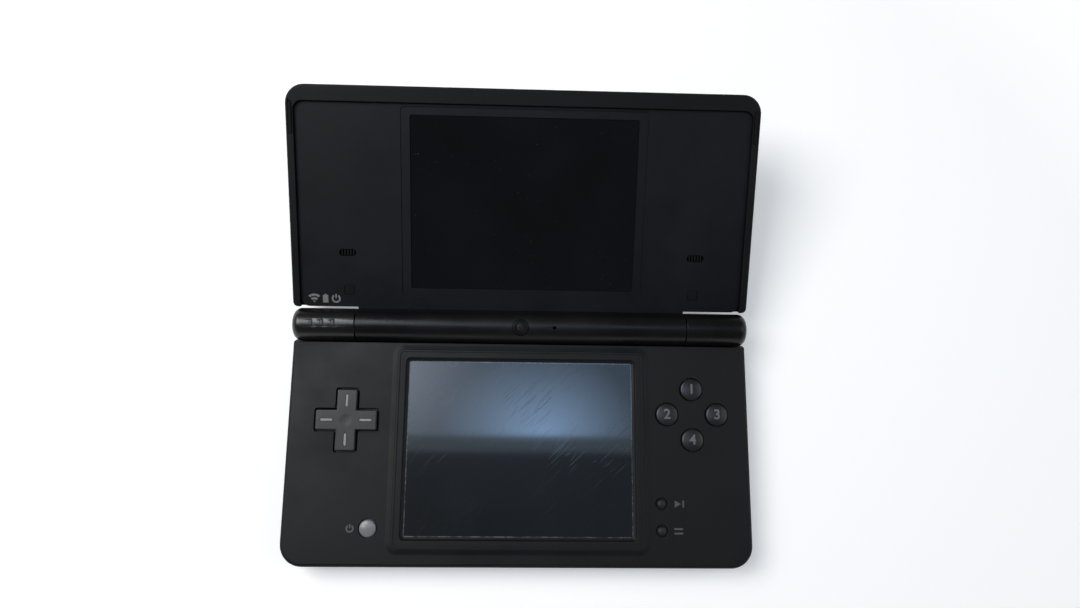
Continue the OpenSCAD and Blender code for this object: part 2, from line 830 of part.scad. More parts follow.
module board_outline() {
    difference() {
        translate([0, (front_y + 7 + cavity_back_y) / 2])
            round_rect(case_w - 2 * wall - 5, cavity_back_y - front_y - 7.6, 1);
        for (s = [-1, 1]) translate([s * (side_x - 2), cavity_back_y])
            square([2 * (side_x - shoulder_side_x + shoulder_gap) , 8], center = true);
        translate([side_x - 3, memory_y]) square([2 * pad_t + 3, door_len + 5], center = true);
        translate([jack_x, front_y + 7]) square([jack_w + 1, 16], center = true);
        for (p = case_screws_at) translate(p) circle(shank_r + 0.2);
        for (p = case_screws_at) if (p[1] < front_y + 8) translate(p)
            translate([-4, -4]) square([6, 6], center = true);
    }
}

module main_board() {
    color(board_green) translate([0, 0, board_z]) linear_extrude(board_t) board_outline();
}

module processor_shield() {
    color(dark_metal) translate([shield_at[0], shield_at[1], board_z - shield_h]) difference() {
        soft_slab(shield_w, -shield_d / 2, shield_d / 2, shield_h, 1, 1, 0.4, 0);
        for (ix = [-1:1], iy = [-1:1]) translate([shield_pitch * ix, shield_pitch * iy, -cut])
            cylinder(r = shield_hole_r, h = cut + shield_h * 0.3);
    }
}

module game_card_reader() {
    y0 = card_front_y - 1.4;
    y1 = cavity_back_y - belly_r + wall;
    color(dark_metal) difference() {
        span_box(0, card_w + 2 * reader_wall, y0, y1, floor_z, board_z);
        game_card_slot();
        for (s = [-1, 1]) span_box(s * 9, 5, card_front_y + 8, card_front_y + 15,
            board_z - 0.3, board_z + cut);
    }
    color("#c9a227") for (i = [0:contact_count])
        span_box((i - contact_count / 2) * card_contact_pitch, card_contact_w,
            card_front_y, card_front_y + 5, card_z + card_h - 0.4, card_z + card_h);
}

module memory_card_socket() {
    color(dark_metal) difference() {
        translate([side_x - wall - pad_t - memory_d - 1, memory_y - memory_w / 2 - socket_wall,
            memory_z - 0.4]) cube([memory_d + 1, memory_w + 2 * socket_wall, board_z - memory_z + 0.4]);
        translate([side_x - wall - pad_t - memory_d, memory_y - memory_w / 2, memory_z])
            cube([memory_d + cut, memory_w, memory_h]);
    }
}

module wireless_module() {
    color("#2c4a7a") translate([radio_at[0], radio_at[1], board_z - radio_t - radio_gap]) {
        translate([0, 0, radio_gap]) plate(radio_w, -radio_d / 2, radio_d / 2, radio_t, 0.5);
        plate(radio_chip_w, -radio_chip_d * 0.6, radio_chip_d * 0.4, radio_gap + 0.05, 0.5);
    }
}

module headphone_jack() {
    color("#3b3b40") difference() {
        union() {
            translate([jack_x, front_y + 0.1, jack_z]) rotate([-90, 0, 0])
                cylinder(r = jack_nose_r, h = wall + 0.4);
            translate([jack_x - jack_w / 2, front_y + wall + 0.35, jack_z - jack_w / 2 + 0.4])
                cube([jack_w, jack_depth + 0.4, jack_w - 0.8]);
        }
        translate([jack_x, front_y - cut, jack_z]) rotate([-90, 0, 0])
            cylinder(r = jack_r, h = jack_depth + cut + 0.1);
    }
}

module power_socket() {
    y0 = case_back_y - power_socket_d + 0.05;
    color("#3b3b40") {
        difference() {
            span_box(power_socket_x, power_socket_w - 0.1, y0, case_back_y - 0.2,
                power_socket_z, power_socket_z + power_socket_h - 0.05);
            span_box(power_socket_x, power_socket_w - 2, y0 + 1.5, case_back_y + cut,
                power_socket_z + 0.6, power_socket_z + power_socket_h - 0.65);
        }
        span_box(power_socket_x, power_socket_w - 4.4, y0 + 1.4, case_back_y - 2,
            power_socket_z + 1.3, power_socket_z + 2);
    }
}

module lower_display() {
    m = display_margin;
    color(glass_black) translate([0, 0, display_z])
        plate(screen_w + 2 * m, screen_y - screen_h / 2 - m, screen_y + screen_h / 2 + m,
            display_t, 0.6);
}

module touch_panel() {
    m = display_margin - 0.4;
    color("#3c444c") translate([0, 0, touch_z])
        plate(screen_w + 2 * m, screen_y - screen_h / 2 - m, screen_y + screen_h / 2 + m,
            touch_t, 0.5);
}

module dpad_membrane() {
    color("#4a4a4f") translate([-dpad_x, hinge_y - dpad_y, board_top_z]) difference() {
        union() {
            linear_extrude(membrane_t) round_rect(dpad_mat_w, dpad_mat_w, 3);
            for (a = [0:90:270]) rotate(a) translate([dpad_dome_at, 0, 0])
                cylinder(r = dpad_dome_r, h = dpad_flange_z - board_top_z - 0.65);
        }
        translate([0, 0, -cut]) cylinder(r = dpad_dome_r, h = 4);
    }
}

module face_button_membrane() {
    color("#4a4a4f") {
        translate([buttons_x, hinge_y - buttons_y, board_top_z])
            linear_extrude(membrane_t) round_rect(key_mat_w, key_mat_w, 4);
        for (i = [0:3]) translate([face_button_at(i)[0], face_button_at(i)[1], board_top_z])
            cylinder(r = key_dome_r,
                h = flange_top_z - flange_t - button_travel - 0.05 - board_top_z);
    }
}

module switch_body(x, y) {
    translate([x - switch_w / 2, y - switch_w / 2, board_top_z])
        cube([switch_w, switch_w, switch_h]);
}

module tactile_switches() {
    color("#b9bcc0") {
        switch_body(power_at[0], power_at[1]);
        switch_body(start_at[0], start_at[1]);
        switch_body(select_at[0], select_at[1]);
        for (y = volume_y)
            translate([volume_switch_x, y - side_switch_len / 2, volume_z - side_switch_drop])
                cube([side_switch_w, side_switch_len, board_z - volume_z + side_switch_drop]);
    }
}

// ---- Hinge, on the base ----

module end_barrel() {
    along_x(end_x, 0, 0) rotate_extrude() edge_profile(barrel_r, barrel_end_len, 0.2, end_round);
}

module hinge_housing(side, bore) {
    color(black) difference() {
        union() {
            translate([0, hinge_y, hinge_z]) mirror([side < 0 ? 1 : 0, 0, 0]) end_barrel();
            span_box(side * (stem_x + stem_w / 2), stem_w, stem_y, stem_y + stem_t,
                stem_z, hinge_z);
        }
        along_x(side * (end_x + housing_bore / 2 - cut / 2), hinge_y, hinge_z)
            cylinder(r = bore, h = housing_bore + cut, center = true);
        if (side < 0) indicator_cut(0.02);
    }
}

module left_hinge_housing() { hinge_housing(-1, bush_r); }
module right_hinge_housing() { hinge_housing(1, shaft_r + hinge_fit); }

indicators_x = [62.3, 59.1, 55.8];

module indicator_cut(fit) {
    for (x = indicators_x) translate([-x, hinge_y, hinge_z]) rotate([4, 0, 0])
        translate([0, 0, bush_r + 0.6]) linear_extrude(barrel_r)
            rotate(90) obround(2.4 + 2 * fit, 1 + 2 * fit);
}

module indicator_lenses() {
    color("#cfd6dc") intersection() {
        indicator_cut(0);
        along_x(-59, hinge_y, hinge_z) cylinder(r = barrel_r - 0.02, h = 16, center = true);
    }
}

module hinge_bush() {
    color(dark_metal) along_x(-end_x - housing_bore, hinge_y, hinge_z) difference() {
        cylinder(r = bush_r, h = housing_bore + bush_overlap);
        translate([0, 0, -cut]) cylinder(r = bush_hole_r, h = housing_bore + bush_overlap + 2 * cut);
    }
}

// ---- Controls ----

// Round cap with a domed top and a flange that stops it under the face
module round_button(p, d, proud, flange, colour) {
    r = d / 2;
    crown = 0.35;
    ball = (r * r + crown * crown) / (2 * crown);
    top = face_z + proud;
    color(colour) translate([p[0], p[1], 0]) intersection() {
        union() {
            translate([0, 0, flange_top_z - flange_t]) cylinder(r = r + flange, h = flange_t);
            translate([0, 0, flange_top_z - 0.1])
                rotate_extrude() edge_profile(r, top - flange_top_z + 0.1, 0, 0.35);
        }
        union() {
            cylinder(r = r + flange + cut, h = flange_top_z + 0.2);
            translate([0, 0, top - ball]) sphere(r = ball);
        }
    }
}

module top_face_button() { round_button(face_button_at(0), button_d, button_proud, 0.8, black); }
module left_face_button() { round_button(face_button_at(1), button_d, button_proud, 0.8, black); }
module right_face_button() { round_button(face_button_at(2), button_d, button_proud, 0.8, black); }
module bottom_face_button() { round_button(face_button_at(3), button_d, button_proud, 0.8, black); }
module start_button() { round_button(start_at, menu_d, 0.5, 0.7, black); }
module select_button() { round_button(select_at, menu_d, 0.5, 0.7, black); }
module power_button() { round_button(power_at, power_d, 0.6, 0.7, "#b4b6ba"); }

module dpad_pivot() {
    foot = board_top_z + 0.1;
    color("#4a4a4f") translate([-dpad_x, hinge_y - dpad_y, foot])
        rotate_extrude() edge_profile(dpad_post_r, dpad_flange_z + dpad_socket - 0.05 - foot, 0.3, 0.4);
}

pad_mark_in = 3.3; // from the arm's end to the middle of its mark
pad_mark_len = 3.8;
pad_mark_w = 0.9;
pad_mark_t = 0.25;
pad_dish_r = 18;
pad_dish_t = 0.12;

module dpad() {
    top = face_z + dpad_proud;
    color(black) translate([-dpad_x, hinge_y - dpad_y, 0]) difference() {
        union() {
            translate([0, 0, dpad_flange_z]) cylinder(r = dpad_flange_r, h = dpad_flange_t);
            translate([0, 0, dpad_flange_z]) linear_extrude(top - dpad_flange_z)
                cross(dpad_span, dpad_arm, 0.5);
        }
        translate([0, 0, dpad_flange_z - cut]) cylinder(r = dpad_post_r + 0.2, h = cut + dpad_socket);
        for (a = [0:90:270]) rotate(a) translate([dpad_span / 2 - pad_mark_in, 0, top - pad_mark_t])
            linear_extrude(cut) obround(pad_mark_len, pad_mark_w);
        translate([0, 0, top + pad_dish_r - pad_dish_t]) sphere(r = pad_dish_r);
    }
}

// The right shoulder button's outer form, before its bore
module shoulder_form() {
    intersection() {
        translate([0, 0, shoulder_z0]) soft_slab(case_w - 0.6, front_y, case_back_y + 0.1,
            shoulder_side_top - shoulder_z0, front_r, rear_r + 1.6, 1.3, 0.5);
        difference() {
            union() {
                translate([shoulder_x0, shoulder_back_y, 0])
                    cube([side_x, shoulder_reach, shoulder_top]);
                translate([shoulder_side_x, shoulder_side_y, 0])
                    cube([side_x, case_back_y - shoulder_side_y, shoulder_top]);
                translate([shoulder_side_x, shoulder_side_y, 0])
                    cube([side_x, shoulder_back_y + 0.7 - shoulder_side_y, face_z]);
            }
            along_x(side_x, hinge_y, hinge_z) cylinder(r = trough_r + 0.1, h = 60, center = true);
        }
    }
}

module shoulder_button() {
    color(black) difference() {
        shoulder_form();
        translate([shoulder_pin_x, shoulder_pin_y, 0])
            cylinder(r = shoulder_pin_r + 0.05, h = face_z + cut);
        translate([shoulder_pin_x, shoulder_pin_y, shoulder_spring_z])
            cylinder(r = shoulder_spring_r + 0.2, h = face_z);
    }
}

module right_shoulder_button() { shoulder_button(); }
module left_shoulder_button() { mirror([1, 0, 0]) shoulder_button(); }

module shoulder_pins() {
    color(dark_metal) for (s = [-1, 1]) translate([s * shoulder_pin_x, shoulder_pin_y, under_z + 0.3])
        cylinder(r = shoulder_pin_r, h = shoulder_top - under_z - 0.4);
}

module shoulder_springs() {
    color(dark_metal) for (s = [-1, 1])
        translate([s * shoulder_pin_x, shoulder_pin_y, shoulder_spring_z + 0.05]) difference() {
            cylinder(r = shoulder_spring_r, h = shoulder_top - shoulder_spring_z - 0.2);
            translate([0, 0, -cut]) cylinder(r = shoulder_pin_r, h = face_z);
        }
}

module volume_key(y) {
    color(black) translate([-side_x - volume_proud, y, volume_z]) rotate([0, 90, 0]) {
        linear_extrude(volume_proud + wall + 0.1) rotate(90) obround(volume_len, volume_h);
        translate([0, 0, volume_proud + wall + 0.06]) linear_extrude(volume_flange_t)
            rotate(90) obround(volume_len + 1.4, volume_h + 1.4);
    }
}

module volume_up_button() { volume_key(volume_y[0]); }
module volume_down_button() { volume_key(volume_y[1]); }

module stylus() {
    tip = 7;
    color(black) intersection() {
        along_x(stylus_x0, stylus_y, stylus_z) rotate_extrude() difference() {
            square([stylus_r, stylus_len]);
            polygon([
                [0.7, -cut], [0.7, 0.6], [stylus_r, tip],
                [stylus_r + cut, tip], [stylus_r + cut, -cut]
            ]);
            translate([stylus_r - 0.25, stylus_len - 7]) square([1, 0.8]);
        }
        base_outer();
    }
}

module memory_card_door() {
    color(black) {
        translate([door_axis_x, door_axis_y, door_z]) linear_extrude(door_h) {
            circle(door_t / 2);
            translate([-door_t / 2, 0]) square([door_t, door_len - door_t]);
            translate([0, door_len - door_t]) circle(door_t / 2);
        }
        translate([door_axis_x, door_axis_y, door_z - door_pin_h])
            cylinder(r = door_pin_r, h = door_h + 2 * door_pin_h);
    }
}

// ---- Lid ----

module lid_outer() {
    translate([0, 0, lid_rim_z])
        soft_slab(lid_w, -lid_len, -lid_start, lid_h, lid_r, 1.5, 0.6, lid_edge_r);
}

module lid_outer_shell() {
    color(black) on_lid() difference() {
        lid_outer();
        translate([0, 0, lid_rim_z - cut]) plate(bezel_w, -lid_len + rim_far_w, 0,
            rim_depth + bezel_t + cut, bezel_r);
        translate([0, 0, bezel_back_z - 0.1]) plate(bezel_w - 2 * ledge, -lid_len + rim_far_w + ledge,
            -lid_start - wall, lid_top_z - wall - bezel_back_z + 0.1, 1.5);
        translate([outer_camera_at[0], outer_camera_at[1], lid_top_z - 3])
            cylinder(r = camera_ring_r + 0.05, h = 5);
        translate([lamp_at[0], lamp_at[1], lid_top_z - 3]) cylinder(r = lamp_r + 0.05, h = 5);
        for (s = [-1, 1]) translate([s * bumper_x, bumper_y, lid_rim_z - cut])
            linear_extrude(cut + 0.4) rotate(90)
                obround(bumper_len + bumper_fit, bumper_w + bumper_fit);
        flex_slot();
    }
}

module lid_inner_bezel() {
    fit = 0.08;
    color(charcoal) on_lid() difference() {
        union() {
            translate([0, 0, bezel_z]) plate(bezel_w - 2 * fit, -lid_len + rim_far_w + fit, -lid_start - 0.05,
                bezel_t, bezel_r - fit);
            span_box(0, barrel_len, -lid_start - 2, -barrel_r + 1, bezel_z, bezel_back_z);
            for (p = plugs_at) translate([p[0], p[1], bezel_z])
                cylinder(r = lid_boss_r, h = lid_boss_h);
        }
        along_x(0, 0, 0) cylinder(r = barrel_r + 0.04, h = lid_w, center = true);
        translate([0, lid_screen_y, bezel_z - cut]) linear_extrude(cut + window_recess)
            round_rect(screen_w + 2 * window_step, upper_screen_h + 2 * window_step - 0.6, 1.2);
        translate([0, lid_screen_y, bezel_z - cut]) linear_extrude(4)
            round_rect(screen_w, upper_screen_h, 0.6);
        translate([0, lid_screen_y, bezel_back_z - window_t]) linear_extrude(4)
            round_rect(screen_w + 2 * window_step - 1, upper_screen_h + 2 * window_step - 1.6, 1);
        for (s = [-1, 1]) translate([s * speaker_x, speaker_slot_y, bezel_z - cut])
            linear_extrude(4) obround(speaker_slot_len, speaker_slot_w);
        for (p = plugs_at) translate([p[0], p[1], bezel_z]) {
            translate([0, 0, -cut]) linear_extrude(cut + plug_t + 0.05)
                round_rect(plug_w, plug_w, 0.4);
            translate([0, 0, 0.5]) cylinder(r = 1.5, h = 1.3);
            cylinder(r = shank_r + screw_fit, h = 6);
        }
    }
}

module lid_neck() {
    span_box(0, barrel_len, -lid_start, -1, bezel_back_z, neck_top_z);
}

// Slot for the ribbon from the barrel into the lid
flex_x = -19;
flex_t = 0.3;
flex_w = 9;
flex_roll_len = 32;
flex_r = barrel_bore - 0.25;

module flex_slot() {
    span_box(flex_x, flex_w + 1, -lid_start - wall - cut, -1, flex_r - flex_t - 0.15, flex_r + 0.15);
}

camera_tilt = 11;
inner_camera_x = -0.3;
microphone_x = 9.8;

module at_barrel(x) {
    translate([x, hinge_y, hinge_z]) rotate([camera_tilt, 0, 0]) children();
}

module lid_hinge_barrel() {
    color(black) difference() {
        union() {
            on_lid() {
                along_x(0, 0, 0) cylinder(r = barrel_r, h = barrel_len, center = true);
                lid_neck();
            }
        }
        along_x(-barrel_len / 2 + bush_overlap + 0.2, hinge_y, hinge_z)
            cylinder(r = barrel_bore, h = barrel_len);
        along_x(-barrel_len / 2 - cut, hinge_y, hinge_z) cylinder(r = bush_r + hinge_fit, h = 9);
        at_barrel(inner_camera_x) cylinder(r = 2.5, h = 9);
        at_barrel(microphone_x) cylinder(r = 0.55, h = 9);
        on_lid() flex_slot();
    }
}

module upper_display() {
    m = display_margin;
    color(glass_black) on_lid() translate([0, lid_screen_y, bezel_back_z]) linear_extrude(display_t)
        round_rect(screen_w + 2 * m, upper_screen_h + 2 * m, 0.6);
}

module upper_screen_window() {
    color(glass_black) on_lid() translate([0, lid_screen_y, bezel_back_z - window_t])
        linear_extrude(window_t) round_rect(screen_w + 2 * window_step - 1 - window_fit,
            upper_screen_h + 2 * window_step - 1.6 - window_fit, 1);
}

module inner_camera() {
    color("#15171a") difference() {
        intersection() {
            at_barrel(inner_camera_x) cylinder(r = 2.4, h = barrel_r);
            along_x(inner_camera_x, hinge_y, hinge_z) cylinder(r = barrel_r - 0.05, h = 6, center = true);
        }
        at_barrel(inner_camera_x) translate([0, 0, barrel_r - 0.6]) cylinder(r1 = 1.1, r2 = 1.7, h = 0.7);
    }
}

module outer_camera() {
    color("#15171a") on_lid() translate([outer_camera_at[0], outer_camera_at[1], lid_top_z - 2.9])
        difference() {
            cylinder(r = camera_r, h = 2.6);
            translate([0, 0, 2.3]) cylinder(r = camera_r - 0.8, h = 1);
        }
}

module outer_camera_ring() {
    color(dark_metal) on_lid() translate([outer_camera_at[0], outer_camera_at[1], lid_top_z - 1.2])
        rotate_extrude() difference() {
            edge_profile(camera_ring_r, 1.35, 0, 0.25);
            translate([-1, -cut]) square([camera_r + 0.05 + 1, 4]);
        }
}

module outer_camera_lamp() {
    color("#d8c0b8") on_lid() translate([lamp_at[0], lamp_at[1], lid_top_z - 2.2])
        rotate_extrude() edge_profile(lamp_r, 2.2, 0, 0.2);
}

module speakers() {
    color("#3b3b40") on_lid() for (s = [-1, 1]) translate([s * speaker_x, speaker_y, bezel_back_z])
        difference() {
            plate(speaker_w, -speaker_d / 2, speaker_d / 2, speaker_t, 1.5);
            translate([0, 0, -cut]) linear_extrude(cut + cone_depth) round_rect(cone_w, cone_d, 1.5);
        }
}

module microphone() {
    color(dark_metal) at_barrel(microphone_x) translate([0, 0, 1.4])
        rotate_extrude() edge_profile(2, 1.6, 0.2, 0.2);
}

module lid_screws() {
    color(dark_metal) on_lid() for (p = plugs_at) translate([p[0], p[1], bezel_z + 0.85]) {
        cylinder(r = 1.4, h = 0.95);
        cylinder(r = shank_r, h = lid_top_z - wall - bezel_z - 0.9);
    }
}

module lid_screw_plugs() {
    color("#1b1b1d") on_lid() for (p = plugs_at) translate([p[0], p[1], bezel_z + 0.03])
        linear_extrude(plug_t) round_rect(plug_w - plug_fit, plug_w - plug_fit, 0.35);
}

module lid_bumpers() {
    color("#1b1b1d") on_lid() for (s = [-1, 1])
        translate([s * bumper_x, bumper_y, lid_rim_z - 0.25])
            linear_extrude(0.65) rotate(90) obround(bumper_len, bumper_w);
}

module lid_magnet() {
    color(dark_metal) on_lid() translate([magnet_at[0], magnet_at[1], bezel_back_z])
        plate(magnet_w, -magnet_d / 2, magnet_d / 2, magnet_t, 0.3);
}

module hinge_clutch() {
    color(dark_metal) along_x(barrel_len / 2 - clutch_len, hinge_y, hinge_z) {
        cylinder(r = clutch_r, h = clutch_len - 0.05);
        cylinder(r = shaft_r, h = clutch_len + shaft_len);
    }
}

module display_flex_cable() {
    color("#8a5a1e") {
        along_x(-barrel_len / 2 + bush_overlap + 1, hinge_y, hinge_z) difference() {
            cylinder(r = flex_r, h = flex_roll_len);
            translate([0, 0, -cut]) cylinder(r = flex_r - flex_t, h = flex_roll_len + 2 * cut);
        }
        on_lid() span_box(flex_x, flex_w, -lid_start - wall - 1.6, 0, flex_r - flex_t, flex_r);
    }
}

base_lower_case();
base_face_plate();
battery_cover();
battery_cover_screws();
battery_pack();
rubber_feet();
case_screws();
main_board();
processor_shield();
game_card_reader();
memory_card_socket();
wireless_module();
headphone_jack();
power_socket();
lower_display();
touch_panel();
dpad_membrane();
face_button_membrane();
tactile_switches();
left_hinge_housing();
right_hinge_housing();
indicator_lenses();
hinge_bush();
shoulder_pins();
shoulder_springs();
dpad_pivot();
dpad();
top_face_button();
left_face_button();
right_face_button();
bottom_face_button();
start_button();
select_button();
power_button();
left_shoulder_button();
right_shoulder_button();
volume_up_button();
volume_down_button();
stylus();
memory_card_door();
lid_outer_shell();
lid_inner_bezel();
lid_hinge_barrel();
upper_display();
upper_screen_window();
inner_camera();
outer_camera();
outer_camera_ring();
outer_camera_lamp();
speakers();
microphone();
lid_screws();
lid_screw_plugs();
lid_bumpers();
lid_magnet();
hinge_clutch();
display_flex_cable();
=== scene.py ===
"""Looks of a clamshell handheld game console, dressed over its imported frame."""

from __future__ import annotations

import logging
import math
from dataclasses import dataclass, field
from enum import Enum
from typing import Callable, Iterable, Optional, Sequence

import bmesh
import bpy
from mathutils import Matrix, Quaternion, Vector

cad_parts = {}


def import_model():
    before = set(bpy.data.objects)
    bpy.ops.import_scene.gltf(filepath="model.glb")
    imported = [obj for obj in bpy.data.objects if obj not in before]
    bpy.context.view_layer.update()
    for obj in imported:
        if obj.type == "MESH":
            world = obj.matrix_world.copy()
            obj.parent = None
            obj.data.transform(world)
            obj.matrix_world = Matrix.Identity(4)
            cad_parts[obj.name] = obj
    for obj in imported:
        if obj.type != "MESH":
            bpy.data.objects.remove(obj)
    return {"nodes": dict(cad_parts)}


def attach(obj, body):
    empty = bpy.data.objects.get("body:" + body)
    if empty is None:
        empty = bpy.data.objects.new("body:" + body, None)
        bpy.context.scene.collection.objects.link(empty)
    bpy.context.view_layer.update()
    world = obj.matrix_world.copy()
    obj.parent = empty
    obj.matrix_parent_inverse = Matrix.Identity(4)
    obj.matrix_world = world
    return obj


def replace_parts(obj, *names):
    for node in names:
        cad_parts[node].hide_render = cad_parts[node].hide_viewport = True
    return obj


LOG = logging.getLogger("console")
MM = 0.001
WELD_M = 2e-6
FLAT_DEG = 0.4
FINE_MM = 0.1
FINE_DEPTH_MM = 0.002
Point2 = tuple[float, float]
Point3 = tuple[float, float, float]
Colour = tuple[float, float, float]


class Body(Enum):
    """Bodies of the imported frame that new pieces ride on."""

    BASE = "base"
    LID = "lid"
    DIRECTION_PAD = "direction_pad"
    TOP_KEY = "top_face_key"
    LEFT_KEY = "left_face_key"
    RIGHT_KEY = "right_face_key"
    BOTTOM_KEY = "bottom_face_key"
    START_KEY = "start_key"
    SELECT_KEY = "select_key"
    POWER_KEY = "power_key"
    LEFT_SHOULDER = "left_shoulder"
    RIGHT_SHOULDER = "right_shoulder"
    VOLUME_UP = "volume_up_key"
    VOLUME_DOWN = "volume_down_key"
    STYLUS = "stylus"
    CARD_DOOR = "memory_card_door"


# ---------------------------------------------------------------- materials


class Graph:
    """A material's node tree, with short calls to add and link its nodes."""

    def __init__(self, name: str) -> None:
        """Start a node material.

        Args:
            name: The material's name.
        """
        self.material = bpy.data.materials.new(name)
        self.material.use_nodes = True
        self.tree = self.material.node_tree
        self.tree.nodes.clear()
        output = self.tree.nodes.new("ShaderNodeOutputMaterial")
        self.shader = self.tree.nodes.new("ShaderNodeBsdfPrincipled")
        self.tree.links.new(self.shader.outputs[0], output.inputs[0])

    def add(self, kind: str, **settings: object) -> bpy.types.Node:
        """Add a node and set its properties.

        Args:
            kind: The node's type name after "ShaderNode".
            settings: Properties of the node.

        Returns:
            The new node.
        """
        node = self.tree.nodes.new("ShaderNode" + kind)
        for key, value in settings.items():
            setattr(node, key, value)
        return node

    def link(self, source: bpy.types.NodeSocket, target: bpy.types.NodeSocket) -> None:
        """Link one socket to another."""
        self.tree.links.new(source, target)

    def set(self, **values: object) -> None:
        """Set constants on the shader's own sockets.

        Args:
            values: The constants, by the sockets' names with _ for a blank.
        """
        for key, value in values.items():
            name = key.replace("_", " ")
            if isinstance(value, tuple) and len(value) == 3:
                value = (*value, 1.0)
            self.shader.inputs[name].default_value = value

    def place(self, turn: Point3 = (0, 0, 0), stretch: Point3 = (1, 1, 1)) -> bpy.types.NodeSocket:
        """Object coordinates for a pattern that is stretched along its axes, then turned.

        Args:
            turn: Euler turn of the pattern in degrees.
            stretch: How much longer the pattern is along each axis.

        Returns:
            The vector socket.
        """
        coord = self.add("TexCoord")
        mapping = self.add("Mapping", vector_type="TEXTURE")
        mapping.inputs["Rotation"].default_value = [math.radians(a) for a in turn]
        mapping.inputs["Scale"].default_value = stretch
        self.link(coord.outputs["Object"], mapping.inputs["Vector"])
        return mapping.outputs[0]

    def noise(
        self,
        where: bpy.types.NodeSocket,
        grain_mm: float,
        detail: float = 2.0,
        rough: float = 0.5,
    ) -> bpy.types.NodeSocket:
        """Noise with features of about a given size.

        Args:
            where: Coordinates in metres.
            grain_mm: Size of its features.
            detail: Octaves.
            rough: Strength of the finer octaves.

        Returns:
            The factor socket.
        """
        node = self.add("TexNoise")
        node.inputs["Scale"].default_value = 1 / (grain_mm * MM)
        node.inputs["Detail"].default_value = detail
        node.inputs["Roughness"].default_value = rough
        self.link(where, node.inputs["Vector"])
        return node.outputs["Fac"]

    def remap(
        self,
        source: bpy.types.NodeSocket,
        from_low: float,
        from_high: float,
        low: float,
        high: float,
    ) -> bpy.types.NodeSocket:
        """A clamped linear map of a value.

        Args:
            source: The value.
            from_low: Value that becomes low.
            from_high: Value that becomes high.
            low: Result at from_low.
            high: Result at from_high.

        Returns:
            The result socket.
        """
        node = self.add("MapRange", clamp=True)
        ends = {"From Min": from_low, "From Max": from_high, "To Min": low, "To Max": high}
        for name, value in ends.items():
            node.inputs[name].default_value = value
        self.link(source, node.inputs["Value"])
        return node.outputs[0]

    def mix(self, factor: bpy.types.NodeSocket, a: object, b: object) -> bpy.types.NodeSocket:
        """Mix two colours, each given as a colour or a socket.

        Args:
            factor: The mix's factor.
            a: First colour.
            b: Second colour.

        Returns:
            The colour socket.
        """
        node = self.add("Mix", data_type="RGBA")
        self.link(factor, node.inputs[0])
        for socket, value in ((node.inputs[6], a), (node.inputs[7], b)):
            if isinstance(value, bpy.types.NodeSocket):
                self.link(value, socket)
            else:
                socket.default_value = (*value, 1.0)
        return node.outputs[2]

    def sum(
        self,
        a: bpy.types.NodeSocket,
        b: bpy.types.NodeSocket,
        share: float = 1.0,
    ) -> bpy.types.NodeSocket:
        """Add a share of one value to another.

        Args:
            a: The first value.
            b: The value that is added.
            share: How much of b.

        Returns:
            The sum's socket.
        """
        node = self.add("Math", operation="MULTIPLY_ADD")
        self.link(b, node.inputs[0])
        node.inputs[1].default_value = share
        self.link(a, node.inputs[2])
        return node.outputs[0]

    def times(self, a: bpy.types.NodeSocket, b: bpy.types.NodeSocket) -> bpy.types.NodeSocket:
        """Multiply two values.

        Args:
            a: The first value.
            b: The second value.

        Returns:
            The product's socket.
        """
        node = self.add("Math", operation="MULTIPLY")
        self.link(a, node.inputs[0])
        self.link(b, node.inputs[1])
        return node.outputs[0]

    def bump(self, height: bpy.types.NodeSocket, depth_mm: float, coated: bool = False) -> None:
        """Bump on the shader's normal.

        Args:
            height: Height from 0 to 1.
            depth_mm: Depth of that height.
            coated: Whether the coat follows it too.
        """
        node = self.add("Bump")
        node.inputs["Distance"].default_value = depth_mm * MM
        self.link(height, node.inputs["Height"])
        self.link(node.outputs[0], self.shader.inputs["Normal"])
        if coated:
            self.link(node.outputs[0], self.shader.inputs["Coat Normal"])

    def to(self, socket: str, source: bpy.types.NodeSocket) -> None:
        """Link a source to one of the shader's sockets by name."""
        self.link(source, self.shader.inputs[socket])


@dataclass(frozen=True)
class MouldedPlastic:
    """Plastic from a textured mould: fine spark-eroded grain, handling marks, faint speckle."""

    name: str
    colour: Colour
    roughness: float = 0.5
    grain_mm: float = 0.16
    grain_depth_mm: float = 0.012
    specular: float = 0.4
    handled: float = 0.08
    coat: float = 0.0

    def material(self) -> bpy.types.Material:
        """Build the finish's node material.

        Returns:
            The material.
        """
        g = Graph(self.name)
        where = g.place()
        fine = g.noise(where, self.grain_mm, 2.0, 0.6)
        pores = g.noise(where, self.grain_mm * 2.6, 1.0)
        marks = g.noise(where, 21.0, 4.0, 0.62)
        darker = tuple(0.86 * c for c in self.colour)
        lighter = tuple(1.22 * c for c in self.colour)
        shade = g.mix(g.remap(marks, 0.36, 0.66, 0.0, 1.0), darker, lighter)
        speck = g.mix(g.remap(fine, 0.42, 0.62, 0.0, 0.35), shade, tuple(1.5 * c for c in self.colour))
        g.to("Base Color", speck)
        rough = g.remap(marks, 0.34, 0.68, self.roughness - self.handled, self.roughness + self.handled)
        g.to("Roughness", rough)
        g.bump(g.sum(fine, pores, 0.6), self.grain_depth_mm)
        g.set(Specular_IOR_Level=self.specular)
        if self.coat:
            g.set(Coat_Weight=self.coat, Coat_Roughness=0.22)
        return g.material


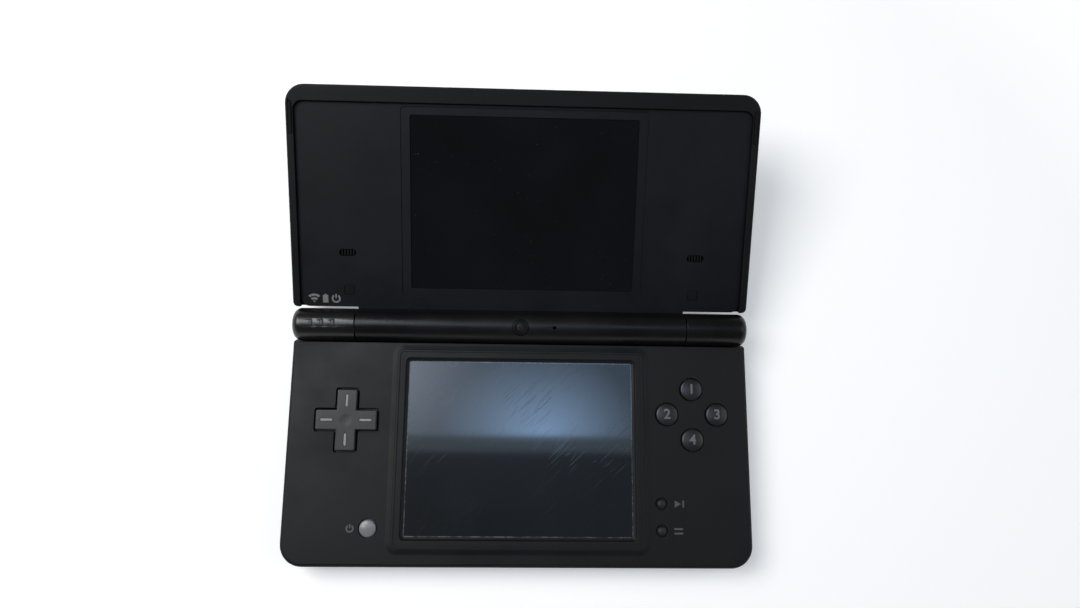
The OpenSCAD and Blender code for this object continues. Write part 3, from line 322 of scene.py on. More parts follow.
@dataclass(frozen=True)
class SoftRubber:
    """Rubber with a dull bloom and a few specks of lint."""

    name: str
    colour: Colour
    roughness: float = 0.78
    specular: float = 0.26

    def material(self) -> bpy.types.Material:
        """Build the finish's node material.

        Returns:
            The material.
        """
        g = Graph(self.name)
        where = g.place()
        bloom = g.noise(where, 3.0, 3.0, 0.6)
        lint = g.noise(where, 0.35, 1.0)
        worn = g.mix(g.remap(bloom, 0.35, 0.7, 0.0, 1.0), self.colour, tuple(1.5 * c for c in self.colour))
        g.to("Base Color", g.mix(g.remap(lint, 0.76, 0.82, 0.0, 0.3), worn, (0.12, 0.115, 0.11)))
        g.to("Roughness", g.remap(bloom, 0.3, 0.7, self.roughness - 0.08, self.roughness + 0.1))
        g.bump(lint, 0.02)
        g.set(Specular_IOR_Level=self.specular)
        return g.material


@dataclass(frozen=True)
class PlatedSteel:
    """Sheet or turned steel with a thin plating, drawn marks and faint tarnish."""

    name: str
    colour: Colour = (0.5, 0.51, 0.53)
    roughness: float = 0.32
    drawn: Point3 = (14.0, 1.0, 1.0)

    def material(self) -> bpy.types.Material:
        """Build the finish's node material.

        Returns:
            The material.
        """
        g = Graph(self.name)
        lines = g.noise(g.place(stretch=self.drawn), 1.1, 3.0, 0.6)
        tarnish = g.noise(g.place(), 4.0, 3.0)
        dull = tuple(0.62 * c for c in self.colour)
        g.to("Base Color", g.mix(g.remap(tarnish, 0.4, 0.72, 0.0, 0.7), self.colour, dull))
        g.to("Roughness", g.remap(lines, 0.3, 0.7, self.roughness - 0.08, self.roughness + 0.14))
        g.bump(lines, 0.004)
        g.set(Metallic=1.0)
        return g.material


@dataclass(frozen=True)
class SmokedWindow:
    """Smoked clear window over a dark picture area, with dust and faint wiping marks."""

    name: str
    colour: Colour = (0.0016, 0.0019, 0.003)

    def material(self) -> bpy.types.Material:
        """Build the finish's node material.

        Returns:
            The material.
        """
        g = Graph(self.name)
        where = g.place()
        tint = g.noise(where, 26.0, 2.0, 0.5)
        wipes = g.noise(g.place(turn=(0, 0, 28), stretch=(9.0, 1.0, 1.0)), 0.8, 3.0, 0.7)
        dust = g.noise(where, 0.34, 0.0)
        glass = g.mix(g.remap(tint, 0.36, 0.66, 0.0, 1.0), self.colour, (0.0026, 0.0036, 0.0056))
        specks = g.remap(dust, 0.86, 0.9, 0.0, 0.7)
        g.to("Base Color", g.mix(specks, glass, (0.11, 0.11, 0.12)))
        g.to("Roughness", g.sum(g.remap(wipes, 0.4, 0.75, 0.05, 0.13), specks, 0.4))
        g.set(Specular_IOR_Level=0.32)
        return g.material


@dataclass(frozen=True)
class TouchFilm:
    """Blue-grey hard-coated film, scratched along the pen's strokes; the scratches' pale colour is partly a
    painted glint, kept towards the top where the lamp's reflection falls.
    """

    name: str
    colour: Colour = (0.0024, 0.0038, 0.0058)
    pale: Colour = (0.0042, 0.006, 0.0084)
    scratch_glint_from_y: Point2 = (-0.014, 0.004)

    def scratches(self, g: Graph, turn: float, length_mm: float, rare: float) -> bpy.types.NodeSocket:
        """Thin strokes in one direction.

        Args:
            g: The material's graph.
            turn: Direction in degrees.
            length_mm: Length of the strokes.
            rare: Noise level above which a stroke shows.

        Returns:
            The strokes' mask.
        """
        thin = g.noise(g.place(turn=(0, 0, turn), stretch=(length_mm / 0.16, 1.0, 1.0)), 0.16, 1.0, 0.4)
        return g.remap(thin, rare, rare + 0.05, 0.0, 1.0)

    def material(self) -> bpy.types.Material:
        """Build the finish's node material.

        Returns:
            The material.
        """
        g = Graph(self.name)
        cloud = g.noise(g.place(), 24.0, 3.0, 0.5)
        film = g.mix(g.remap(cloud, 0.35, 0.68, 0.0, 1.0), self.colour, self.pale)
        strokes = g.sum(self.scratches(g, 44.0, 16.0, 0.69), self.scratches(g, 55.0, 9.0, 0.72))
        across = g.add("SeparateXYZ")
        g.link(g.place(), across.inputs[0])
        patches = g.remap(g.noise(g.place(), 16.0, 1.0), 0.44, 0.62, 0.1, 1.0)
        # Real wear in random patches, times a painted glint: the scratches' pale colour fades out below the
        # top of the film, where the lamp's reflection falls.
        worn = g.times(patches, g.remap(across.outputs["Y"], *self.scratch_glint_from_y, 0.35, 1.0))
        fine = g.times(g.sum(strokes, self.scratches(g, 18.0, 5.0, 0.76), 0.7), worn)
        g.to("Base Color", g.mix(g.remap(fine, 0.0, 1.5, 0.0, 0.1), film, (0.3, 0.34, 0.38)))
        g.to("Roughness", g.sum(g.remap(cloud, 0.3, 0.7, 0.26, 0.34), fine, 0.25))
        g.bump(fine, -0.004, coated=True)
        g.set(Specular_IOR_Level=0.1, Coat_Weight=1.0, Coat_Roughness=0.055, Coat_IOR=1.5)
        return g.material


@dataclass(frozen=True)
class PrintedInkAndHighlight:
    """Pad-printed ink with slightly uneven cover; also used as a painted highlight on the direction pad's
    marks.
    """

    name: str
    colour: Colour = (0.34, 0.35, 0.35)

    def material(self) -> bpy.types.Material:
        """Build the finish's node material.

        Returns:
            The material.
        """
        g = Graph(self.name)
        cover = g.noise(g.place(), 0.32, 3.0, 0.65)
        thin = tuple(0.6 * c for c in self.colour)
        g.to("Base Color", g.mix(g.remap(cover, 0.34, 0.6, 0.0, 1.0), thin, self.colour))
        g.to("Roughness", g.remap(cover, 0.3, 0.7, 0.42, 0.6))
        return g.material


@dataclass(frozen=True)
class ClearPart:
    """Frosted light guide or coated lens: tinted, glossy, cloudy inside; also the pale strip at the touch
    film's edge, which is a painted highlight.
    """

    name: str
    colour: Colour
    deep: Colour
    roughness: float = 0.12
    coat: float = 0.6
    cloud_mm: float = 0.9
    specular: float = 0.5

    def material(self) -> bpy.types.Material:
        """Build the finish's node material.

        Returns:
            The material.
        """
        g = Graph(self.name)
        cloud = g.noise(g.place(), self.cloud_mm, 3.0, 0.6)
        g.to("Base Color", g.mix(g.remap(cloud, 0.42, 0.68, 0.0, 1.0), self.deep, self.colour))
        g.to("Roughness", g.remap(cloud, 0.3, 0.7, self.roughness, self.roughness + 0.12))
        g.set(Specular_IOR_Level=self.specular, Coat_Weight=self.coat, Coat_Roughness=0.04)
        return g.material


@dataclass(frozen=True)
class CircuitBoard:
    """Green solder mask with buried tracks."""

    name: str
    colour: Colour = (0.012, 0.085, 0.04)

    def material(self) -> bpy.types.Material:
        """Build the finish's node material.

        Returns:
            The material.
        """
        g = Graph(self.name)
        tracks = g.add("TexBrick", offset=0.5)
        tracks.inputs["Scale"].default_value = 240.0
        tracks.inputs["Mortar Size"].default_value = 0.012
        tracks.inputs["Color1"].default_value = (*self.colour, 1)
        tracks.inputs["Color2"].default_value = (0.016, 0.105, 0.05, 1)
        tracks.inputs["Mortar"].default_value = (0.03, 0.16, 0.07, 1)
        g.link(g.place(), tracks.inputs["Vector"])
        stain = g.noise(g.place(), 7.0, 2.0)
        g.to("Base Color", tracks.outputs["Color"])
        g.to("Roughness", g.remap(stain, 0.3, 0.7, 0.28, 0.42))
        g.bump(tracks.outputs["Fac"], 0.02)
        return g.material


class Finish(Enum):
    """Every finish on the console."""

    SHELL = MouldedPlastic("matte_shell", (0.0034, 0.0032, 0.0032), 0.52, specular=0.16)
    LID_SHELL = MouldedPlastic("matte_lid_shell", (0.0033, 0.0034, 0.0042), 0.52, specular=0.17)
    FACE = MouldedPlastic("matte_face", (0.0043, 0.0043, 0.0049), 0.5, specular=0.22)
    LID_FACE = MouldedPlastic("matte_lid_face", (0.0038, 0.0041, 0.006), 0.52, specular=0.19)
    BARREL = MouldedPlastic(
        "satin_barrel", (0.0032, 0.0032, 0.0038), 0.33, grain_depth_mm=0.006, specular=0.27
    )
    HOUSING = MouldedPlastic(
        "glossy_housing", (0.0036, 0.0036, 0.0042), 0.26, grain_depth_mm=0.003, specular=0.46, handled=0.04
    )
    KEY = MouldedPlastic(
        "satin_key", (0.007, 0.007, 0.0075), 0.4, FINE_MM, grain_depth_mm=0.003, specular=0.4, handled=0.06
    )
    KEYCAP = MouldedPlastic(
        "domed_keycap", (0.0062, 0.0061, 0.0062), 0.33, FINE_MM, FINE_DEPTH_MM, specular=0.45, handled=0.05
    )
    SMALL_KEY = MouldedPlastic(
        "small_keycap", (0.0068, 0.0067, 0.0068), 0.5, FINE_MM, FINE_DEPTH_MM, specular=0.42, handled=0.05
    )
    POWER_KEY = MouldedPlastic(
        "pale_key", (0.17, 0.172, 0.177), 0.26, FINE_MM, FINE_DEPTH_MM, specular=0.5, handled=0.04
    )
    RECESS = MouldedPlastic("dark_recess", (0.0022, 0.0022, 0.0024), 0.62, specular=0.12)
    CAMERA_DISC = MouldedPlastic(
        "camera_disc", (0.0022, 0.0022, 0.0024), 0.5, FINE_MM, 0.001, specular=0.15, handled=0.03
    )
    CAMERA_GLASS = ClearPart(
        "camera_glass", (0.011, 0.011, 0.012), (0.006, 0.006, 0.007), 0.4, coat=0.0, specular=0.19
    )
    PLUG = SoftRubber("soft_plug", (0.0036, 0.0037, 0.0044), 0.7, 0.14)
    SMOKED_LENS = ClearPart(
        "smoked_lens", (0.015, 0.015, 0.016), (0.008, 0.008, 0.009), 0.34, coat=0.0, specular=0.34
    )
    INNER = MouldedPlastic("inner_plastic", (0.03, 0.03, 0.033), 0.55)
    RUBBER = SoftRubber("black_rubber", (0.0062, 0.0062, 0.0066))
    MEMBRANE = SoftRubber("silicone_membrane", (0.1, 0.1, 0.11), 0.62)
    STEEL = PlatedSteel("plated_steel")
    SCREW = PlatedSteel("blackened_screw", (0.11, 0.11, 0.12), 0.38)
    RING = PlatedSteel("camera_ring", (0.32, 0.33, 0.35), 0.26, drawn=(1.0, 1.0, 9.0))
    DISPLAY = SmokedWindow("display_module", (0.004, 0.005, 0.007))
    WINDOW = SmokedWindow("smoked_window")
    FILM = TouchFilm("touch_film")
    # Pale strip along the touch film's edge: a painted highlight, unevenly bright, standing for the
    # reflection that the edge catches.
    FILM_EDGE = ClearPart(
        "film_edge", (0.085, 0.09, 0.095), (0.008, 0.0095, 0.012), 0.2, coat=0.3, cloud_mm=1.9
    )
    INK = PrintedInkAndHighlight("pale_ink", (0.19, 0.19, 0.195))
    DIM_INK = PrintedInkAndHighlight("grey_ink", (0.078, 0.08, 0.083))
    KEY_INK = PrintedInkAndHighlight("key_ink", (0.145, 0.141, 0.134))
    # Pale colour on the direction pad's marks: a painted highlight for the light that the pad's grooves
    # catch, not ink.
    PAD_INK = PrintedInkAndHighlight("pad_ink", (0.27, 0.27, 0.27))
    LENS = ClearPart("lens_glass", (0.006, 0.006, 0.012), (0.002, 0.002, 0.004), 0.05, 1.0)
    LAMP = ClearPart("lamp_window", (0.32, 0.24, 0.22), (0.18, 0.12, 0.11), 0.15)
    BOARD = CircuitBoard("solder_mask")
    BATTERY = MouldedPlastic("battery_wrap", (0.07, 0.085, 0.1), 0.36, grain_depth_mm=0.004)
    RIBBON = MouldedPlastic("polyimide_ribbon", (0.34, 0.16, 0.035), 0.34, grain_depth_mm=0.003, coat=0.3)


MADE: dict[str, bpy.types.Material] = {}


def material_of(finish: Finish) -> bpy.types.Material:
    """The finish's material, made once.

    Args:
        finish: The finish.

    Returns:
        Its Blender material.
    """
    if finish.name not in MADE:
        MADE[finish.name] = finish.value.material()
    return MADE[finish.name]


# ---------------------------------------------------------------- meshes


@dataclass
class Frame:
    """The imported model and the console's own landmarks in it, in millimetres."""

    nodes: dict[str, bpy.types.Object]
    hinge_y: float = 32.55
    hinge_z: float = 10.7
    lid_angle: float = 157.5
    face_z: float = 10.5

    def on_lid(self) -> Matrix:
        """Place of a shape drawn with the lid shut and the hinge axis at its origin, in metres."""
        shift = Matrix.Translation((0, self.hinge_y * MM, self.hinge_z * MM))
        return shift @ Matrix.Rotation(math.radians(-self.lid_angle), 4, "X")


def shade(mesh: bpy.types.Mesh, angle: float = 38.0) -> None:
    """Smooth shading with edges sharper than an angle kept sharp."""
    mesh.polygons.foreach_set("use_smooth", [True] * len(mesh.polygons))
    mesh.set_sharp_from_angle(angle=math.radians(angle))


def new_piece(
    name: str,
    mesh: bpy.types.Mesh,
    finish: Finish,
    body: Body,
    slot: Optional[str] = None,
    weighted: bool = True,
) -> bpy.types.Object:
    """Add a finished piece at the origin.

    Args:
        name: The piece's name.
        mesh: Its mesh, in place, in metres.
        finish: Its finish.
        body: The body that it rides on.
        slot: The record's material slot, if any.
        weighted: Whether flat faces keep their own normals.

    Returns:
        The piece.
    """
    piece = bpy.data.objects.new(name, mesh)
    bpy.context.scene.collection.objects.link(piece)
    mesh.materials.clear()
    mesh.materials.append(material_of(finish))
    if weighted:
        modifier = piece.modifiers.new("weighted_normals", "WEIGHTED_NORMAL")
        modifier.keep_sharp = True
    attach(piece, body.value)
    LOG.info("%s: %d faces, rides on %s", name, len(mesh.polygons), body.value)
    return piece


def mesh_from(bm: bmesh.types.BMesh, name: str, angle: float = 38.0) -> bpy.types.Mesh:
    """Turn a bmesh in millimetres into a mesh in metres, with its normals outwards.

    Args:
        bm: The shape, freed by this call.
        name: The mesh's name.
        angle: Angle above which an edge stays sharp.

    Returns:
        The mesh.
    """
    bmesh.ops.recalc_face_normals(bm, faces=bm.faces)
    bmesh.ops.scale(bm, vec=(MM, MM, MM), verts=bm.verts)
    mesh = bpy.data.meshes.new(name)
    bm.to_mesh(mesh)
    bm.free()
    shade(mesh, angle)
    return mesh


def merged(frame: Frame, node: str) -> bmesh.types.BMesh:
    """A copy of a CAD node with its triangles joined into whole faces.

    Args:
        frame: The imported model.
        node: The CAD node.

    Returns:
        The copy, in place, in metres.
    """
    bm = bmesh.new()
    bm.from_mesh(frame.nodes[node].data)
    bmesh.ops.remove_doubles(bm, verts=bm.verts, dist=WELD_M)
    bmesh.ops.dissolve_limit(bm, angle_limit=math.radians(FLAT_DEG), verts=bm.verts, edges=bm.edges)
    return bm


def break_edges(
    bm: bmesh.types.BMesh,
    width: float,
    segments: int = 2,
    wanted: Callable[[Vector], bool] = lambda middle: True,
    angle: float = 34.0,
) -> None:
    """Break a shape's sharp outer edges with a small round.

    Args:
        bm: The shape, in metres.
        width: Width of the round in millimetres.
        segments: Faces across the round.
        wanted: Says from an edge's middle, in millimetres, whether it is broken.
        angle: Edges sharper than this are broken.
    """
    sharp = [
        e
        for e in bm.edges
        if len(e.link_faces) == 2
        and e.is_convex
        and e.calc_face_angle(0.0) > math.radians(angle)
        and wanted((e.verts[0].co + e.verts[1].co) / (2 * MM))
    ]
    if width > 0 and sharp:
        bmesh.ops.bevel(
            bm,
            geom=sharp,
            offset=width * MM,
            offset_type="OFFSET",
            segments=segments,
            profile=0.5,
            affect="EDGES",
            clamp_overlap=False,
        )


def kept(bm: bmesh.types.BMesh, name: str) -> bpy.types.Mesh:
    """Turn a worked copy of a node into a mesh.

    Args:
        bm: The copy, in metres, freed by this call.
        name: The mesh's name.

    Returns:
        The mesh.
    """
    mesh = bpy.data.meshes.new(name)
    bm.to_mesh(mesh)
    bm.free()
    shade(mesh)
    return mesh


@dataclass(frozen=True)
class Stand:
    """One CAD node that a softened piece stands for."""

    node: str
    finish: Finish
    body: Body
    slot: str
    width: float = 0.15
    segments: int = 2

    def build(self, frame: Frame) -> bpy.types.Object:
        """Make the softened piece and hide the node.

        Args:
            frame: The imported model.

        Returns:
            The piece.
        """
        bm = merged(frame, self.node)
        break_edges(bm, self.width, self.segments)
        mesh = kept(bm, self.node + "_soft")
        piece = new_piece(self.node + "_dressed", mesh, self.finish, self.body, self.slot)
        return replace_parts(piece, self.node)


def dress_node(frame: Frame, node: str, finish: Finish) -> None:
    """Give a CAD node that stays its finish.

    Args:
        frame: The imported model.
        node: The CAD node.
        finish: Its finish.
    """
    piece = frame.nodes[node]
    if not piece.material_slots:
        piece.data.materials.append(material_of(finish))
    for slot in piece.material_slots:
        slot.material = material_of(finish)
    LOG.info("%s: CAD node, dressed in %s", node, finish.name.lower())


def islands(frame: Frame, node: str) -> list[tuple[Vector, Vector]]:
    """Boxes of a CAD node's separate solids, in millimetres, in a fixed order.

    Args:
        frame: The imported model.
        node: The CAD node.

    Returns:
        Each solid's lowest and highest corner.
    """
    bm = bmesh.new()
    bm.from_mesh(frame.nodes[node].data)
    bmesh.ops.remove_doubles(bm, verts=bm.verts, dist=WELD_M)
    left, boxes = set(bm.verts), []
    while left:
        seed = left.pop()
        found, queue = [seed], [seed]
        while queue:
            for edge in queue.pop().link_edges:
                for vert in edge.verts:
                    if vert in left:
                        left.remove(vert)
                        found.append(vert)
                        queue.append(vert)
        low = Vector(min(v.co[i] for v in found) for i in range(3)) / MM
        high = Vector(max(v.co[i] for v in found) for i in range(3)) / MM
        boxes.append((low, high))
    bm.free()
    return sorted(boxes, key=lambda box: (round(box[0].x, 2), round(box[0].y, 2)))


def lathe(profile: Sequence[Point2], steps: int = 48) -> bmesh.types.BMesh:
    """Turn a profile round the Z axis.

    Args:
        profile: Its points as radius and height; it starts and ends on the axis.
        steps: Faces round the axis.

    Returns:
        The closed shape in millimetres.
    """
    bm = bmesh.new()
    rings = []
    for r, z in profile:
        if r < 1e-6:
            rings.append([bm.verts.new((0, 0, z))] * steps)
        else:
            turn = [2 * math.pi * i / steps for i in range(steps)]
            rings.append([bm.verts.new((r * math.cos(a), r * math.sin(a), z)) for a in turn])
    for a, b in zip(rings, rings[1:]):
        for i in range(steps):
            j = (i + 1) % steps
            bm.faces.new(list(dict.fromkeys((a[i], a[j], b[j], b[i]))))
    return bm


def lens_dome(radius: float, crown: float, depth: float, steps: int = 32) -> bmesh.types.BMesh:
    """A camera's glass: a short plug with a shallow dome, its rim on z = 0.

    Args:
        radius: Its radius.
        crown: Height of the dome.
        depth: Depth of the plug.
        steps: Faces round the axis.

    Returns:
        The closed shape in millimetres.
    """
    arc = [math.radians(90 * i / 6) for i in range(7)]
    dome = [(radius * math.cos(a), crown * math.sin(a)) for a in arc]
    return lathe([(0, -depth), (radius, -depth)] + dome, steps)


def capsule_bar(
    length: float,
    width: float,
    height: float,
    edge: float,
    steps: int = 8,
) -> bmesh.types.BMesh:
    """A bar with round ends and a rounded top edge, lying along X on z = 0.

    Args:
        length: Its length.
        width: Its width.
        height: Its height.
        edge: Radius of its top edge.
        steps: Faces round each end.

    Returns:
        The closed shape in millimetres.
    """
    bm = bmesh.new()

    def outline(inset: float, z: float) -> list[bmesh.types.BMVert]:
        """One ring round the bar.

        Args:
            inset: How far it is drawn in.
            z: Its height.

        Returns:
            The ring's corners.
        """
        r, half = width / 2 - inset, (length - width) / 2
        verts = []
        for side in (1, -1):
            for i in range(steps + 1):
                a = math.radians(-90 + 180 * i / steps)
                verts.append(bm.verts.new((side * (half + r * math.cos(a)), side * r * math.sin(a), z)))
        return verts

    rings = [outline(0, 0)]
    for a in (math.radians(90 * i / 3) for i in range(4)):
        rings.append(outline(edge * (1 - math.cos(a)), height - edge * (1 - math.sin(a))))
    for a, b in zip(rings, rings[1:]):
        for i in range(len(a)):
            j = (i + 1) % len(a)
            bm.faces.new((a[i], a[j], b[j], b[i]))
    bm.faces.new(rings[-1])
    bm.faces.new(list(reversed(rings[0])))
    return bm


class Repeat:
    """Geometry Nodes tree that sets a template on points, each copy turned by its number."""

    def __init__(self, finish: Finish) -> None:
        """Build the tree.

        Args:
            finish: The finish that it gives the copies.
        """
        self.tree = bpy.data.node_groups.new("repeat_" + finish.name.lower(), "GeometryNodeTree")
        face = self.tree.interface
        face.new_socket("Points", in_out="INPUT", socket_type="NodeSocketGeometry")
        template = face.new_socket("Template", in_out="INPUT", socket_type="NodeSocketObject")
        turn, size = (
            face.new_socket(name, in_out="INPUT", socket_type="NodeSocketFloat") for name in ("Turn", "Size")
        )
        self.template, self.turn, self.size = template.identifier, turn.identifier, size.identifier
        face.new_socket("Copies", in_out="OUTPUT", socket_type="NodeSocketGeometry")
        add, link = self.tree.nodes.new, self.tree.links.new
        enter, leave = add("NodeGroupInput"), add("NodeGroupOutput")
        info, number = add("GeometryNodeObjectInfo"), add("GeometryNodeInputIndex")
        angle, euler = add("ShaderNodeMath"), add("ShaderNodeCombineXYZ")
        angle.operation = "MULTIPLY"
        turned, copies = add("FunctionNodeEulerToRotation"), add("GeometryNodeInstanceOnPoints")
        real, dress = add("GeometryNodeRealizeInstances"), add("GeometryNodeSetMaterial")
        dress.inputs["Material"].default_value = material_of(finish)
        link(enter.outputs["Template"], info.inputs["Object"])
        link(number.outputs[0], angle.inputs[0])
        link(enter.outputs["Turn"], angle.inputs[1])
        link(angle.outputs[0], euler.inputs["Z"])
        link(euler.outputs[0], turned.inputs[0])
        link(enter.outputs["Points"], copies.inputs["Points"])
        link(info.outputs["Geometry"], copies.inputs["Instance"])
        link(turned.outputs[0], copies.inputs["Rotation"])
        link(enter.outputs["Size"], copies.inputs["Scale"])
        link(copies.outputs[0], real.inputs[0])
        link(real.outputs[0], dress.inputs["Geometry"])
        link(dress.outputs[0], leave.inputs[0])

    def mesh(
        self,
        name: str,
        template: bmesh.types.BMesh,
        points: Sequence[Point3],
        turn: float = 0.0,
        size: float = 1.0,
        place: Matrix = Matrix.Identity(4),
    ) -> bpy.types.Mesh:
        """Set the template on the points and keep the result as a plain mesh.

        Args:
            name: The mesh's name.
            template: The repeated shape in millimetres, freed by this call.
            points: Where its origin goes, in millimetres.
            turn: Turn about Z from one copy to the next, in degrees.
            size: Scale of each copy.
            place: Place of the whole set.

        Returns:
            The mesh, in place, in metres.
        """
        shape = bpy.data.objects.new(name + "_template", mesh_from(template, name + "_template"))
        spots = bpy.data.meshes.new(name + "_points")
        spots.from_pydata([Vector(p) * MM for p in points], [], [])
        holder = bpy.data.objects.new(name + "_points", spots)
        for piece in (shape, holder):
            bpy.context.scene.collection.objects.link(piece)
        nodes = holder.modifiers.new("repeat", "NODES")
        nodes.node_group = self.tree
        nodes[self.template] = shape
        nodes[self.turn] = math.radians(turn)
        nodes[self.size] = size
        graph = bpy.context.evaluated_depsgraph_get()
        mesh = bpy.data.meshes.new_from_object(holder.evaluated_get(graph))
        holder.modifiers.remove(nodes)
        for piece in (shape, holder):
            bpy.data.objects.remove(piece)
        mesh.transform(place)
        mesh.name = name
        shade(mesh)
        return mesh


# ---------------------------------------------------------------- flat signs


class Sign:
    """A thin printed sign, built from bars, bands and letters in its own plane."""

    def __init__(self) -> None:
        """Start an empty sign."""
        self.bm = bmesh.new()

    def outline(self, points: Sequence[Point2]) -> Sign:
        """Add a filled outline.

        Args:
            points: Its corners, anticlockwise.

        Returns:
            The sign.
        """
        self.bm.faces.new([self.bm.verts.new((x, y, 0)) for x, y in points])
        return self

    def bar(self, x: float, y: float, w: float, h: float) -> Sign:
        """Add a bar by its centre and size."""
        left, right, low, high = x - w / 2, x + w / 2, y - h / 2, y + h / 2
        return self.outline([(left, low), (right, low), (right, high), (left, high)])

    def band(self, y: float, radii: Point2, angles: Point2, steps: int = 24) -> Sign:
        """Add a band of a ring.

        Args:
            y: Height of its centre.
            radii: Inner and outer radius.
            angles: First and last angle in degrees.
            steps: Faces along it.

        Returns:
            The sign.
        """
        rows = []
        first, last = angles
        for i in range(steps + 1):
            a = math.radians(first + (last - first) * i / steps)
            rows.append([(r * math.cos(a), y + r * math.sin(a)) for r in radii])
        for (p, q), (s, t) in zip(rows, rows[1:]):
            self.outline([p, q, t, s] if radii[0] > 0 else [p, q, t])
        return self

    def letter(self, text: str, size: float) -> Sign:
        """Add plain characters, centred.

        Args:
            text: The characters.
            size: Their height in millimetres.

        Returns:
            The sign.
        """
        curve = bpy.data.curves.new("letter", "FONT")
        curve.body, curve.size = text, size
        curve.align_x, curve.align_y = "CENTER", "CENTER"
        curve.offset = 0.02 * size
        holder = bpy.data.objects.new("letter", curve)
        bpy.context.scene.collection.objects.link(holder)
        graph = bpy.context.evaluated_depsgraph_get()
        mesh = bpy.data.meshes.new_from_object(holder.evaluated_get(graph))
        self.bm.from_mesh(mesh)
        bpy.data.objects.remove(holder)
        bpy.data.meshes.remove(mesh)
        return self

    def lay(
        self,
        name: str,
        finish: Finish,
        body: Body,
        surface: Callable[[float, float], Point3],
        thick: float = 0.03,
        fineness: float = 0.5,
    ) -> bpy.types.Object:
        """Lay the sign on a surface and give it its thickness.

        Args:
            name: The piece's name.
            finish: Its ink.
            body: The body that it rides on.
            surface: Gives a point of the sign its place in the frame, in millimetres.
            thick: Thickness of the ink.
            fineness: Longest edge before the sign is bent.

        Returns:
            The piece.
        """
        bm = self.bm
        bmesh.ops.remove_doubles(bm, verts=bm.verts, dist=1e-4)
        bmesh.ops.triangulate(bm, faces=bm.faces)
        long = [e for e in bm.edges if e.calc_length() > fineness]
        if long:
            bmesh.ops.subdivide_edges(bm, edges=long, cuts=2, use_grid_fill=True)
        for face in bm.faces:
            if face.normal.z < 0:
                face.normal_flip()
        centre = Vector(surface(0, 0))
        up = (Vector(surface(1, 0)) - centre).cross(Vector(surface(0, 1)) - centre).normalized()
        walls = [e for e in bm.edges if len(e.link_faces) == 1]
        below = {}
        for v in list(bm.verts):
            spot = Vector(surface(v.co.x, v.co.y))
            v.co = spot + up * thick
            below[v] = bm.verts.new(spot - up * thick)
        for face in list(bm.faces):
            bm.faces.new([below[v] for v in reversed(face.verts)])
        for e in walls:
            a, b = e.verts
            bm.faces.new([a, b, below[b], below[a]])
        return new_piece(name, mesh_from(bm, name, 50), finish, body, weighted=False)


# ---------------------------------------------------------------- sub-assemblies


@dataclass
class BaseHalf:
    """Tub, face plate with its raised screen frame, and what closes the tub from below."""

    stands: tuple[Stand, ...] = (
        Stand("base_lower_case", Finish.SHELL, Body.BASE, "shell_plastic", 0.16),
        Stand("base_face_plate", Finish.FACE, Body.BASE, "face_plastic", 0.14),
        Stand("battery_cover", Finish.SHELL, Body.BASE, "shell_plastic", 0.15),
        Stand("memory_card_door", Finish.SHELL, Body.CARD_DOOR, "shell_plastic", 0.1),
    )

    def build(self, frame: Frame) -> None:
        """Build the base half's shells."""
        for stand in self.stands:
            stand.build(frame)


@dataclass
class TouchScreen:
    """Touch film in the base's frame, with a pale strip along its cut edge that is a painted highlight,
    standing for the reflection that the edge catches.
    """

    half_w: float = 33.4
    y0: float = -29.0
    y1: float = 21.9
    top_z: float = 10.1
    edge_highlight_w: float = 0.28
    edge_highlight_rise: Point3 = (0.035, 0.02, -0.02)

    def corners(self, inset: float) -> list[Point2]:
        """Corners of the opening, drawn in by an inset."""
        x, y0, y1 = self.half_w - inset, self.y0 + inset, self.y1 - inset
        return [(-x, y0), (x, y0), (x, y1), (-x, y1)]

    def edge(self) -> None:
        """Lay a pale border strip just inside the opening: a painted highlight for the reflection along the
        film's edge.
        """
        bm = bmesh.new()
        outside, inside, under = (self.top_z + rise for rise in self.edge_highlight_rise)
        levels = ((0.0, outside), (self.edge_highlight_w, inside), (self.edge_highlight_w, under), (0.0, under))
        rings = [[bm.verts.new((x, y, z)) for x, y in self.corners(inset)] for inset, z in levels]
        for a, b in zip(rings, rings[1:] + rings[:1]):
            for i in range(4):
                bm.faces.new([a[i], a[(i + 1) % 4], b[(i + 1) % 4], b[i]])
        new_piece("film_edge", mesh_from(bm, "film_edge"), Finish.FILM_EDGE, Body.BASE, "touch_film")

    def build(self, frame: Frame) -> None:
        """Build the film and the painted highlight along its edge."""
        Stand("touch_panel", Finish.FILM, Body.BASE, "touch_film", 0.05, 1).build(frame)
        self.edge()


